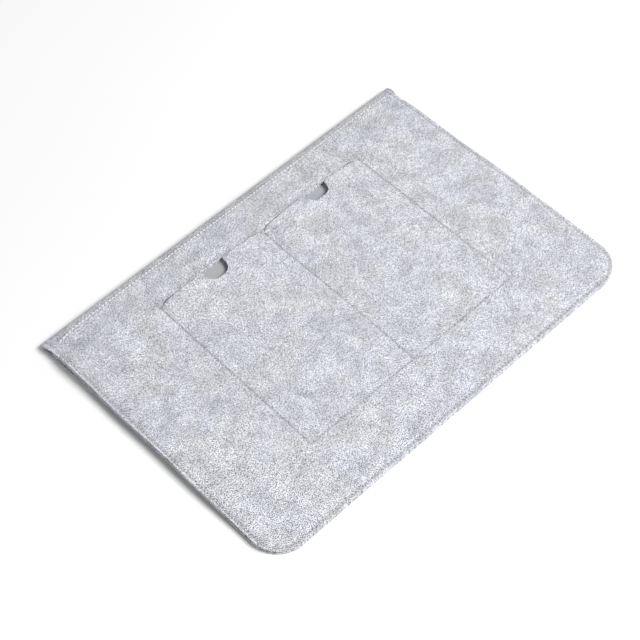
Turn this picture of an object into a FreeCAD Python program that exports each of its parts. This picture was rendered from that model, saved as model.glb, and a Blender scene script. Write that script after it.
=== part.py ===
"""Felt laptop sleeve with a fold-over flap and two pockets on its back.

The sleeve lies on its closed flap with the pocket side up.  +X runs along the fold, +Y from the
bottom edge to the fold and +Z up.  The origin is under the middle of the sleeve, on the surface
that it lies on.  All lengths are in millimetres.

Layers from the surface up: flap felt, flap lining, hook tape, loop tape, front felt, front lining,
the laptop's compartment, back lining, pocket backing, the two pockets, back felt.
"""

import FreeCAD, Part
import math
import os
import Sketcher

SIZES = (
    # overall
    ("body_width", 342.0),  # across the side edges
    ("body_depth", 246.0),  # from the bottom edge to the outside of the fold
    ("fold_flare", 1.5),  # of each end of the fold, past the side edges
    ("corner_radius", 23.0),  # bottom corners of both panels
    # materials
    ("felt", 2.2),
    ("lining", 0.4),
    ("tape", 0.6),  # hook tape and loop tape, each
    ("thread_height", 0.2),
    ("thread_width", 0.7),
    # spaces
    ("closure_gap", 0.3),  # between the hook tape and the loop tape
    ("compartment_gap", 4.3),  # the compartment's height, empty
    ("pocket_gap", 4.2),  # each pocket's height, empty
    ("knuckle_gap", 0.3),  # between the fold strip and the rounded edges it turns about
    ("layer_gap", 0.1),  # between a sloping wall and the lining inside it
    # edges and seams
    ("rim", 4.0),  # flat sewn rim on the sides and the bottom
    ("slope_run", 7.0),  # width of the slope from the rim up to the back
    ("wall_run", 3.0),  # width of the sloping felt wall, measured level
    ("lining_wall_run", 0.6),
    ("fold_band", 8.0),  # unsewn stretch of each side next to the fold
    ("front_setback", 11.0),  # from the outside of the fold to the front panel's top edge
    ("lining_setback", 1.0),  # from the panels' edges to the linings' edges
    ("lining_fold_setback", 3.0),  # from the hinge lines to the linings' ends
    ("seam_inset", 2.4),  # from an edge to the middle of its seam
    ("crease_inset", 9.0),  # from the outside of the fold to its row of stitches
    ("crease_end", 8.0),  # from the sides to the ends of that row
    ("hem_inset", 4.0),  # from the front panel's top edge to its row of stitches
    # pockets
    ("pocket_side_inset", 73.0),  # from the sides to the outer seams, were the pair in the middle
    ("pocket_end_inset", 48.5),  # from the bottom edge to the bottom seam
    ("pocket_shift", 3.5),  # of the divider seam, from the middle
    ("mouth_drop", 41.0),  # from the outside of the fold to the lip
    ("mouth_slot", 2.5),
    ("top_seam_rise", 2.2),  # from the mouth to the seam above it
    ("foot_gap", 0.9),  # from a seam to the foot of the pocket's raised panel
    ("pocket_wall_run", 2.4),
    ("pocket_slope_run", 4.0),
    ("backing_margin", 4.0),  # of the backing, past its seams
    ("notch_width", 19.5),
    ("notch_depth", 10.0),
    ("notch_radius", 9.0),
    ("card_notch_shift", 0.5),  # of each thumb notch, from its pocket's middle
    ("phone_notch_shift", 3.6),
    # flap
    ("flap_length", 140.0),  # from the lower hinge line to the free edge
    ("flap_taper", 13.5),  # of each side, from the fold to the free edge
    ("flap_radius", 32.0),
    # closure tapes
    ("hook_length", 76.0),
    ("hook_height", 16.0),
    ("loop_length", 88.0),
    ("loop_height", 24.0),
    ("tape_side_inset", 64.0),  # from the flap's sides at its free edge to the tapes' middles
    ("tape_inset", 26.0),  # from the flap's free edge to the middle of the tapes
    ("tape_seam_inset", 1.8),
)

doc = FreeCAD.newDocument("LaptopSleeve")
sheet = doc.addObject("Spreadsheet::Sheet", "Sizes")
for row, (alias, number) in enumerate(SIZES, start=1):
    sheet.set("A%d" % row, alias)
    sheet.set("B%d" % row, str(number))
    sheet.setAlias("B%d" % row, alias)
doc.recompute()


class Length:
    """A length with its value now and the expression that ties it to the sheet."""

    def __init__(self, value, text):
        self.value = value
        self.text = text

    def __add__(self, other):
        other = as_length(other)
        return Length(self.value + other.value, "(%s + %s)" % (self.text, other.text))

    def __sub__(self, other):
        other = as_length(other)
        return Length(self.value - other.value, "(%s - %s)" % (self.text, other.text))

    def __neg__(self):
        return Length(-self.value, "(-%s)" % self.text)

    def __mul__(self, factor):
        return Length(self.value * factor, "(%s * %r)" % (self.text, factor))

    def __truediv__(self, divisor):
        return Length(self.value / divisor, "(%s / %r)" % (self.text, divisor))


def as_length(number):
    """A plain number becomes a Length; a Length stays as it is."""
    return number if isinstance(number, Length) else Length(float(number), repr(float(number)))


def size(alias):
    """The Length of one cell of the sheet."""
    return Length(float(sheet.get(alias)), "Sizes.%s" % alias)


# ---------------------------------------------------------------- worked-out places

CUT_SPARE = as_length(1.0)  # how far a cutting shape reaches past what it cuts

FELT = size("felt")
LINING = size("lining")
TAPE = size("tape")
THREAD = size("thread_height")

SIDE = size("body_width") / 2
END = size("body_depth") / 2  # outside of the fold; the bottom edge is at -END
HINGE_Y = END - FELT / 2
FOLD_SIDE = SIDE + size("fold_flare")

FLAP_TOP = FELT + LINING
HOOK_TOP = FLAP_TOP + TAPE
LOOP_LEVEL = HOOK_TOP + size("closure_gap")
FRONT_LEVEL = LOOP_LEVEL + TAPE
FRONT_LINING_LEVEL = FRONT_LEVEL + FELT
FLOOR_LEVEL = FRONT_LINING_LEVEL + LINING  # floor of the compartment
RIM_LEVEL = FLOOR_LEVEL + LINING
CEILING_LEVEL = FLOOR_LEVEL + size("compartment_gap")
BACKING_LEVEL = CEILING_LEVEL + LINING
BACK_LEVEL = BACKING_LEVEL + LINING  # underside of the back felt
BACK_TOP = BACK_LEVEL + FELT
LIP_LEVEL = BACK_LEVEL + size("pocket_gap")
LIP_TOP = LIP_LEVEL + FELT

UPPER_HINGE_Z = BACK_LEVEL + FELT / 2
LOWER_HINGE_Z = FELT / 2

FRONT_TOP_EDGE = END - size("front_setback")
BAND_EDGE = END - size("fold_band")

DIVIDER_X = size("pocket_shift")
POCKET_WIDTH = SIDE - size("pocket_side_inset")
LIP_Y = END - size("mouth_drop")
MOUTH_Y = LIP_Y + size("mouth_slot")
POCKET_BOTTOM = size("pocket_end_inset") - END
POCKET_TOP = MOUTH_Y + size("top_seam_rise")
CARD_LEFT = DIVIDER_X - POCKET_WIDTH
PHONE_RIGHT = DIVIDER_X + POCKET_WIDTH

FLAP_EDGE = HINGE_Y - size("flap_length")
FLAP_END_SIDE = FOLD_SIDE - size("flap_taper")
TAPE_Y = FLAP_EDGE + size("tape_inset")
TAPE_X = FLAP_END_SIDE - size("tape_side_inset")

# ---------------------------------------------------------------- feature helpers


def new_body(label):
    """An empty body whose label names its file."""
    body = doc.addObject("PartDesign::Body", "Body_" + label)
    body.Label = label
    return body


def plane_of(body, role):
    """One of the body's own origin planes."""
    for feature in body.Origin.OriginFeatures:
        if feature.Role == role:
            return feature
    raise ValueError(role)


def new_sketch(body, role="XY_Plane", level=None):
    """A sketch on one of the body's planes, moved along its normal to the level."""
    sketch = body.newObject("Sketcher::SketchObject", body.Name + "_Sketch")
    sketch.AttachmentSupport = [(plane_of(body, role), "")]
    sketch.MapMode = "FlatFace"
    if level is not None:
        sketch.setExpression("AttachmentOffset.Base.z", level.text)
    return sketch


def drive(sketch, constraint, length):
    """Adds a dimension to the sketch and ties it to the sheet."""
    index = sketch.addConstraint(constraint)
    sketch.setExpression("Constraints[%d]" % index, length.text)


def rounded_rectangle(sketch, left, right, bottom, top, bottom_radius=None, top_radius=None):
    """A rectangle, with the bottom and the top pair of corners rounded where a radius is given."""
    corners = (
        (left, bottom, bottom_radius, 1, 1, 180),
        (right, bottom, bottom_radius, -1, 1, 270),
        (right, top, top_radius, -1, -1, 0),
        (left, top, top_radius, 1, -1, 90),
    )
    before, after = [], []
    for corner_x, corner_y, radius, in_x, in_y, start in corners:
        cut = radius.value if radius else 0.0
        point = FreeCAD.Vector(corner_x.value, corner_y.value, 0)
        along_x = point + FreeCAD.Vector(in_x * cut, 0, 0)
        along_y = point + FreeCAD.Vector(0, in_y * cut, 0)
        vertical_first = start in (180, 0)
        before.append(along_y if vertical_first else along_x)
        after.append(along_x if vertical_first else along_y)
    lines = []
    for index in range(4):
        segment = Part.LineSegment(after[index], before[(index + 1) % 4])
        lines.append(sketch.addGeometry(segment, False))
        kind = "Horizontal" if index % 2 == 0 else "Vertical"
        sketch.addConstraint(Sketcher.Constraint(kind, lines[index]))
    for index, (corner_x, corner_y, radius, in_x, in_y, start) in enumerate(corners):
        arriving = lines[(index + 3) % 4]
        leaving = lines[index]
        if radius is None:
            sketch.addConstraint(Sketcher.Constraint("Coincident", arriving, 2, leaving, 1))
            continue
        centre = FreeCAD.Vector(
            corner_x.value + in_x * radius.value, corner_y.value + in_y * radius.value, 0
        )
        circle = Part.Circle(centre, FreeCAD.Vector(0, 0, 1), radius.value)
        quarter = Part.ArcOfCircle(circle, math.radians(start), math.radians(start + 90))
        arc = sketch.addGeometry(quarter, False)
        sketch.addConstraint(Sketcher.Constraint("Tangent", arriving, 2, arc, 1))
        sketch.addConstraint(Sketcher.Constraint("Tangent", arc, 2, leaving, 1))
        drive(sketch, Sketcher.Constraint("Radius", arc, radius.value), radius)
    drive(sketch, Sketcher.Constraint("DistanceY", -1, 1, lines[0], 1, bottom.value), bottom)
    drive(sketch, Sketcher.Constraint("DistanceX", -1, 1, lines[1], 1, right.value), right)
    drive(sketch, Sketcher.Constraint("DistanceY", -1, 1, lines[2], 1, top.value), top)
    drive(sketch, Sketcher.Constraint("DistanceX", -1, 1, lines[3], 1, left.value), left)


def pad(body, sketch, height, taper_run=None, midplane=False):
    """A pad along the sketch's normal, drawn in by taper_run at its far end."""
    feature = body.newObject("PartDesign::Pad", body.Name + "_Pad")
    feature.Profile = sketch
    feature.Midplane = midplane
    feature.setExpression("Length", height.text)
    if taper_run is not None:
        feature.setExpression("TaperAngle", "-atan(%s / %s)" % (taper_run.text, height.text))
    sketch.Visibility = False
    return feature


def pocket(body, sketch, depth, upwards=False, taper_run=None):
    """A pocket from the sketch downwards, or upwards, drawn in by taper_run at its far end."""
    feature = body.newObject("PartDesign::Pocket", body.Name + "_Pocket")
    feature.Profile = sketch
    feature.Reversed = upwards
    feature.setExpression("Length", depth.text)
    if taper_run is not None:
        feature.setExpression("TaperAngle", "-atan(%s / %s)" % (taper_run.text, depth.text))
    sketch.Visibility = False
    return feature


def plate(label, left, right, bottom, top, level, height, bottom_radius=None, top_radius=None):
    """A flat piece with an upright edge."""
    body = new_body(label)
    sketch = new_sketch(body, level=level)
    rounded_rectangle(sketch, left, right, bottom, top, bottom_radius, top_radius)
    pad(body, sketch, height)
    return body


def thread_frame(label, left, right, bottom, top, level, bottom_radius=None, open_top=False):
    """A row of stitches on the middle line of a rectangle, as one flat ribbon."""
    half = size("thread_width") / 2
    outer_radius = bottom_radius + half if bottom_radius else None
    inner_radius = bottom_radius - half if bottom_radius else None
    outer_top = top if open_top else top + half
    inner_top = top + half if open_top else top - half
    body = plate(
        label, left - half, right + half, bottom - half, outer_top, level, THREAD, outer_radius
    )
    sketch = new_sketch(body, level=level)
    rounded_rectangle(sketch, left + half, right - half, bottom + half, inner_top, inner_radius)
    pocket(body, sketch, THREAD, upwards=True)
    return body


def thread_line(label, left, right, bottom, top, level):
    """A straight row of stitches as one flat ribbon between two corners."""
    return plate(label, left, right, bottom, top, level, THREAD)


# ---------------------------------------------------------------- sewn body


def tray(label, skin, wall, inset, foot, rim_level, ceiling):
    """A panel with a flat rim on three sides and a raised middle that is open at the fold.

    inset is the rim's own setback from the felt's edge, foot the raised part's.
    """
    body = new_body(label)
    radius = size("corner_radius")
    beyond = END + size("slope_run") * 3
    sketch = new_sketch(body, level=rim_level)
    rounded_rectangle(
        sketch, inset - SIDE, SIDE - inset, inset - END, BAND_EDGE, radius - inset
    )
    pad(body, sketch, skin)
    sketch = new_sketch(body, level=rim_level)
    rounded_rectangle(sketch, foot - SIDE, SIDE - foot, foot - END, beyond, radius - foot)
    pad(body, sketch, ceiling + skin - rim_level, size("slope_run"))
    within = foot + wall
    sketch = new_sketch(body, level=rim_level)
    rounded_rectangle(sketch, within - SIDE, SIDE - within, within - END, beyond, radius - within)
    pocket(body, sketch, ceiling - rim_level, upwards=True, taper_run=size("slope_run"))
    return body


def cut_past(body, edge, level, height):
    """Cuts off what lies past an edge, on the fold's side of it."""
    sketch = new_sketch(body, level=level - CUT_SPARE)
    far = edge + size("slope_run") * 5
    rounded_rectangle(sketch, -SIDE - CUT_SPARE, SIDE + CUT_SPARE, edge, far)
    pocket(body, sketch, height + CUT_SPARE * 2, upwards=True)


def knuckle(body, level):
    """The felt's rounded edge on a hinge line, the full width of the fold."""
    sketch = new_sketch(body, "YZ_Plane")
    centre = FreeCAD.Vector(HINGE_Y.value, level.value, 0)
    circle = Part.Circle(centre, FreeCAD.Vector(0, 0, 1), FELT.value / 2)
    edge = sketch.addGeometry(circle, False)
    drive(sketch, Sketcher.Constraint("Radius", edge, FELT.value / 2), FELT / 2)
    drive(sketch, Sketcher.Constraint("DistanceX", -1, 1, edge, 3, HINGE_Y.value), HINGE_Y)
    drive(sketch, Sketcher.Constraint("DistanceY", -1, 1, edge, 3, level.value), level)
    pad(body, sketch, FOLD_SIDE * 2, midplane=True)


def wedge(body, kind, left, right, bottom, top, low, high, run):
    """A block that is drawn in by run at its top on the left, right and bottom sides."""
    feature = body.newObject("PartDesign::" + kind, body.Name + "_" + kind)
    feature.Placement = FreeCAD.Placement(
        FreeCAD.Vector(0, 0, 0), FreeCAD.Rotation(FreeCAD.Vector(1, 0, 0), 90)
    )
    # turned so, the wedge's own Y points up and its own Z towards the bottom edge
    for name, length in (
        ("Xmin", left),
        ("Xmax", right),
        ("X2min", left + run),
        ("X2max", right - run),
        ("Ymin", low),
        ("Ymax", high),
        ("Zmin", -top),
        ("Zmax", -bottom),
        ("Z2min", -top),
        ("Z2max", -bottom - run),
    ):
        feature.setExpression(name, length.text)
    return feature


def raise_pocket(body, left, right, notch_x):
    """One pocket's raised panel, its inside, its mouth and its thumb notch."""
    foot = size("foot_gap")
    run = size("pocket_slope_run")
    bottom = POCKET_BOTTOM + foot
    wedge(
        body, "AdditiveWedge", left + foot, right - foot, bottom, LIP_Y,
        BACK_LEVEL + FELT / 2, LIP_TOP, run,
    )
    wall = size("pocket_wall_run")
    wedge(
        body, "SubtractiveWedge", left + foot + wall, right - foot - wall, bottom + wall, MOUTH_Y,
        BACK_LEVEL, LIP_LEVEL, run,
    )
    half = size("notch_width") / 2
    sketch = new_sketch(body, level=LIP_TOP)
    rounded_rectangle(
        sketch, notch_x - half, notch_x + half, LIP_Y - size("notch_depth"), MOUTH_Y,
        size("notch_radius"),
    )
    pocket(body, sketch, FELT)


def back_panel():
    """The felt back: sewn rim, raised middle, fold band and two pockets."""
    body = tray(
        "back_panel", FELT, size("wall_run"), as_length(0.0), size("rim"), RIM_LEVEL, BACK_LEVEL
    )
    cut_past(body, BAND_EDGE, RIM_LEVEL, LIP_TOP)
    sketch = new_sketch(body, level=BACK_LEVEL)
    rounded_rectangle(sketch, -SIDE, SIDE, BAND_EDGE, HINGE_Y)
    pad(body, sketch, FELT)
    knuckle(body, UPPER_HINGE_Z)
    half = POCKET_WIDTH / 2
    raise_pocket(body, CARD_LEFT, DIVIDER_X, CARD_LEFT + half + size("card_notch_shift"))
    raise_pocket(body, DIVIDER_X, PHONE_RIGHT, DIVIDER_X + half + size("phone_notch_shift"))
    return body


def back_lining():
    """The cloth under the back felt, sewn into the same rim."""
    foot = size("rim") + size("wall_run") + size("layer_gap")
    body = tray(
        "back_lining", LINING, size("lining_wall_run"), size("lining_setback"), foot,
        FLOOR_LEVEL, CEILING_LEVEL,
    )
    cut_past(body, HINGE_Y - size("lining_fold_setback"), FLOOR_LEVEL, BACK_TOP)
    return body


def sewn_body():
    """Every piece of the body that is sewn together along its rim."""
    trim = size("lining_setback")
    plate(
        "front_panel", -SIDE, SIDE, -END, FRONT_TOP_EDGE, FRONT_LEVEL, FELT, size("corner_radius")
    )
    plate(
        "front_lining", trim - SIDE, SIDE - trim, trim - END, FRONT_TOP_EDGE, FRONT_LINING_LEVEL,
        LINING, size("corner_radius") - trim,
    )
    back_panel()
    back_lining()
    margin = size("backing_margin")
    plate(
        "pocket_backing", CARD_LEFT - margin, PHONE_RIGHT + margin, POCKET_BOTTOM - margin,
        POCKET_TOP + margin, BACKING_LEVEL, LINING,
    )
    inset = size("seam_inset")
    thread_frame(
        "rim_seam_thread", inset - SIDE, SIDE - inset, inset - END, BAND_EDGE, RIM_LEVEL + FELT,
        size("corner_radius") - inset, open_top=True,
    )
    thread_frame(
        "pocket_outline_thread", CARD_LEFT, PHONE_RIGHT, POCKET_BOTTOM, POCKET_TOP, BACK_TOP
    )
    half = size("thread_width") / 2
    thread_line(
        "pocket_divider_thread", DIVIDER_X - half, DIVIDER_X + half, POCKET_BOTTOM + half,
        POCKET_TOP - half, BACK_TOP,
    )
    crease = END - size("crease_inset")
    reach = SIDE - size("crease_end")
    thread_line("fold_crease_thread", -reach, reach, crease - half, crease + half, BACK_TOP)
    hem = FRONT_TOP_EDGE - size("hem_inset")
    thread_line(
        "mouth_hem_thread", inset - SIDE, SIDE - inset, hem - half, hem + half,
        FRONT_LEVEL - THREAD,
    )


# ---------------------------------------------------------------- fold and flap


def fold():
    """The felt and the lining that wrap the fold, between the two hinge lines."""
    gap = size("knuckle_gap")
    low = LOWER_HINGE_Z + FELT / 2 + gap
    high = UPPER_HINGE_Z - FELT / 2 - gap
    plate("fold_strip", -FOLD_SIDE, FOLD_SIDE, HINGE_Y - FELT / 2, END, low, high - low)
    trim = size("lining_setback")
    inside = HINGE_Y - FELT / 2
    plate(
        "fold_lining", trim - FOLD_SIDE, FOLD_SIDE - trim, inside - LINING, inside,
        low + trim, high - low - trim * 2,
    )


def flap_outline(sketch, trim, fold_edge):
    """The flap's shape: full width at the fold, narrower at the rounded free edge."""
    fold_side = FOLD_SIDE - trim
    end_side = FLAP_END_SIDE - trim
    radius = size("flap_radius") - trim
    edge = FLAP_EDGE + trim
    centre_x = end_side - radius
    centre_y = edge + radius
    up = FreeCAD.Vector(0, 0, 1)
    top = Part.LineSegment(
        FreeCAD.Vector(fold_side.value, fold_edge.value, 0),
        FreeCAD.Vector(-fold_side.value, fold_edge.value, 0),
    )
    left = Part.LineSegment(
        FreeCAD.Vector(-fold_side.value, fold_edge.value, 0),
        FreeCAD.Vector(-end_side.value, centre_y.value, 0),
    )
    left_circle = Part.Circle(
        FreeCAD.Vector(-centre_x.value, centre_y.value, 0), up, radius.value
    )
    bottom = Part.LineSegment(
        FreeCAD.Vector(-centre_x.value, edge.value, 0),
        FreeCAD.Vector(centre_x.value, edge.value, 0),
    )
    right_circle = Part.Circle(
        FreeCAD.Vector(centre_x.value, centre_y.value, 0), up, radius.value
    )
    right = Part.LineSegment(
        FreeCAD.Vector(end_side.value, centre_y.value, 0),
        FreeCAD.Vector(fold_side.value, fold_edge.value, 0),
    )
    pieces = [
        top,
        left,
        Part.ArcOfCircle(left_circle, math.pi, 1.5 * math.pi),
        bottom,
        Part.ArcOfCircle(right_circle, 1.5 * math.pi, 2 * math.pi),
        right,
    ]
    top, left, left_arc, bottom, right_arc, right = [
        sketch.addGeometry(piece, False) for piece in pieces
    ]
    sketch.addConstraint(Sketcher.Constraint("Coincident", top, 2, left, 1))
    sketch.addConstraint(Sketcher.Constraint("Coincident", right, 2, top, 1))
    sketch.addConstraint(Sketcher.Constraint("Horizontal", top))
    sketch.addConstraint(Sketcher.Constraint("Horizontal", bottom))
    sketch.addConstraint(Sketcher.Constraint("Tangent", left, 2, left_arc, 1))
    sketch.addConstraint(Sketcher.Constraint("Tangent", left_arc, 2, bottom, 1))
    sketch.addConstraint(Sketcher.Constraint("Tangent", bottom, 2, right_arc, 1))
    sketch.addConstraint(Sketcher.Constraint("Tangent", right_arc, 2, right, 1))
    for arc, centre in ((left_arc, -centre_x), (right_arc, centre_x)):
        drive(sketch, Sketcher.Constraint("Radius", arc, radius.value), radius)
        drive(sketch, Sketcher.Constraint("DistanceX", -1, 1, arc, 3, centre.value), centre)
    drive(sketch, Sketcher.Constraint("DistanceY", -1, 1, bottom, 1, edge.value), edge)
    drive(sketch, Sketcher.Constraint("DistanceY", -1, 1, top, 1, fold_edge.value), fold_edge)
    drive(sketch, Sketcher.Constraint("DistanceX", -1, 1, top, 1, fold_side.value), fold_side)
    drive(
        sketch, Sketcher.Constraint("DistanceX", -1, 1, top, 2, -fold_side.value), -fold_side
    )


def flap_plate(label, trim, fold_edge, level, height):
    """A flat piece of the flap's shape."""
    body = new_body(label)
    sketch = new_sketch(body, level=level)
    flap_outline(sketch, trim, fold_edge)
    pad(body, sketch, height)
    return body


def flap():
    """The flap's felt, its lining and the stitches round its free edges."""
    nothing = as_length(0.0)
    body = flap_plate("flap_panel", nothing, HINGE_Y, nothing, FELT)
    knuckle(body, LOWER_HINGE_Z)
    lining_end = HINGE_Y - size("lining_fold_setback")
    flap_plate("flap_lining", size("lining_setback"), lining_end, FELT, LINING)
    inset = size("seam_inset")
    half = size("thread_width") / 2
    body = flap_plate("flap_edge_thread", inset - half, lining_end, FLAP_TOP, THREAD)
    sketch = new_sketch(body, level=FLAP_TOP)
    flap_outline(sketch, inset + half, lining_end + half)
    pocket(body, sketch, THREAD, upwards=True)


def tapes():
    """The two pairs of closure tapes and the seams that hold them."""
    inset = size("tape_seam_inset")
    rows = (
        ("hook", FLAP_TOP, HOOK_TOP, size("hook_length") / 2, size("hook_height") / 2),
        ("loop", LOOP_LEVEL, LOOP_LEVEL - THREAD, size("loop_length") / 2, size("loop_height") / 2),
    )
    for kind, level, thread_level, half_length, half_height in rows:
        for side, middle in (("left", -TAPE_X), ("right", TAPE_X)):
            left, right = middle - half_length, middle + half_length
            bottom, top = TAPE_Y - half_height, TAPE_Y + half_height
            plate("%s_tape_%s" % (kind, side), left, right, bottom, top, level, TAPE)
            thread_frame(
                "%s_thread_%s" % (kind, side), left + inset, right - inset, bottom + inset,
                top - inset, thread_level,
            )


def check(bodies):
    """Stops before anything is written if a feature failed or a shape isn't a sound solid."""
    for item in doc.Objects:
        if "Invalid" in item.State or "Error" in item.State:
            raise RuntimeError("%s: %s" % (item.Label, item.State))
    for body in bodies:
        if body.Shape.isNull() or not body.Shape.isValid() or len(body.Shape.Solids) != 1:
            raise RuntimeError("%s isn't one sound solid" % body.Label)
        previous = None
        for feature in body.Group:
            if not hasattr(feature, "AddSubShape") or feature.Shape.isNull():
                continue
            volume = feature.Shape.Volume
            if "Subtractive" in feature.TypeId or "Pocket" in feature.TypeId:
                if volume > previous - 1e-6:
                    raise RuntimeError("%s cut nothing" % feature.Label)
            previous = volume


def main():
    """Builds the sleeve and writes each piece to its own file."""
    sewn_body()
    fold()
    flap()
    tapes()
    doc.recompute()
    bodies = [item for item in doc.Objects if item.TypeId == "PartDesign::Body"]
    check(bodies)
    os.makedirs("parts", exist_ok=True)
    for body in bodies:
        body.Shape.exportStep("parts/%s.step" % body.Label)
        box = body.Shape.BoundBox
        print(
            "%-24s %8.0f mm3  x %7.2f %7.2f  y %7.2f %7.2f  z %6.2f %6.2f"
            % (body.Label, body.Shape.Volume, box.XMin, box.XMax, box.YMin, box.YMax, box.ZMin,
               box.ZMax)
        )


main()
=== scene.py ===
"""Looks of a felt laptop sleeve that lies on its closed flap, with its two pockets up.

+X runs along the fold, +Y from the bottom edge to the fold and +Z up.  Each cloth is cut flat to
its outline and then laid in place.  Lengths in the classes are in millimetres; meshes are in metres.
"""

import logging
import math
from dataclasses import dataclass, field, replace
from enum import Enum
from typing import Callable

import bpy
import numpy as np
from mathutils import Matrix, Vector
from mathutils.geometry import delaunay_2d_cdt


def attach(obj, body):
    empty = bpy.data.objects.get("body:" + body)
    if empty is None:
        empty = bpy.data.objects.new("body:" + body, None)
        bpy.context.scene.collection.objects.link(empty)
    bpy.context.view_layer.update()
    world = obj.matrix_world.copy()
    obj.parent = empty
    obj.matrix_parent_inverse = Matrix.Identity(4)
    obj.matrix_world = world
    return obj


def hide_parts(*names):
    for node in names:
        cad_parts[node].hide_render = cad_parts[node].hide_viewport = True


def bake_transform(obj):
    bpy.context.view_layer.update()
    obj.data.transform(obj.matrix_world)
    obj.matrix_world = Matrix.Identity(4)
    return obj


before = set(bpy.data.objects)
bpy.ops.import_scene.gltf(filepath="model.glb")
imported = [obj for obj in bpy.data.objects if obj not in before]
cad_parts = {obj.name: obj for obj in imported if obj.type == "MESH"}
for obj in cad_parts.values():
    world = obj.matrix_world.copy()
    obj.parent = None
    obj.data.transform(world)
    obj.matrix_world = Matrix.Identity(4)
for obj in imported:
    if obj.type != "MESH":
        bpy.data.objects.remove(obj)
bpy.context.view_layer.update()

MM = 0.001
PLACE = "cloth_place"

log = logging.getLogger("sleeve")

Placer = Callable[[np.ndarray, np.ndarray, float], np.ndarray]


class Side(Enum):
    """Left and right of the sleeve, as the sign of X."""

    LEFT = -1
    RIGHT = 1


def smooth(t: np.ndarray) -> np.ndarray:
    """Rises from 0 to 1 with level ends as t goes from 0 to 1."""
    t = np.clip(t, 0.0, 1.0)
    return t * t * (3.0 - 2.0 * t)


# ------------------------------------------------------------------ how the sleeve lies


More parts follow.
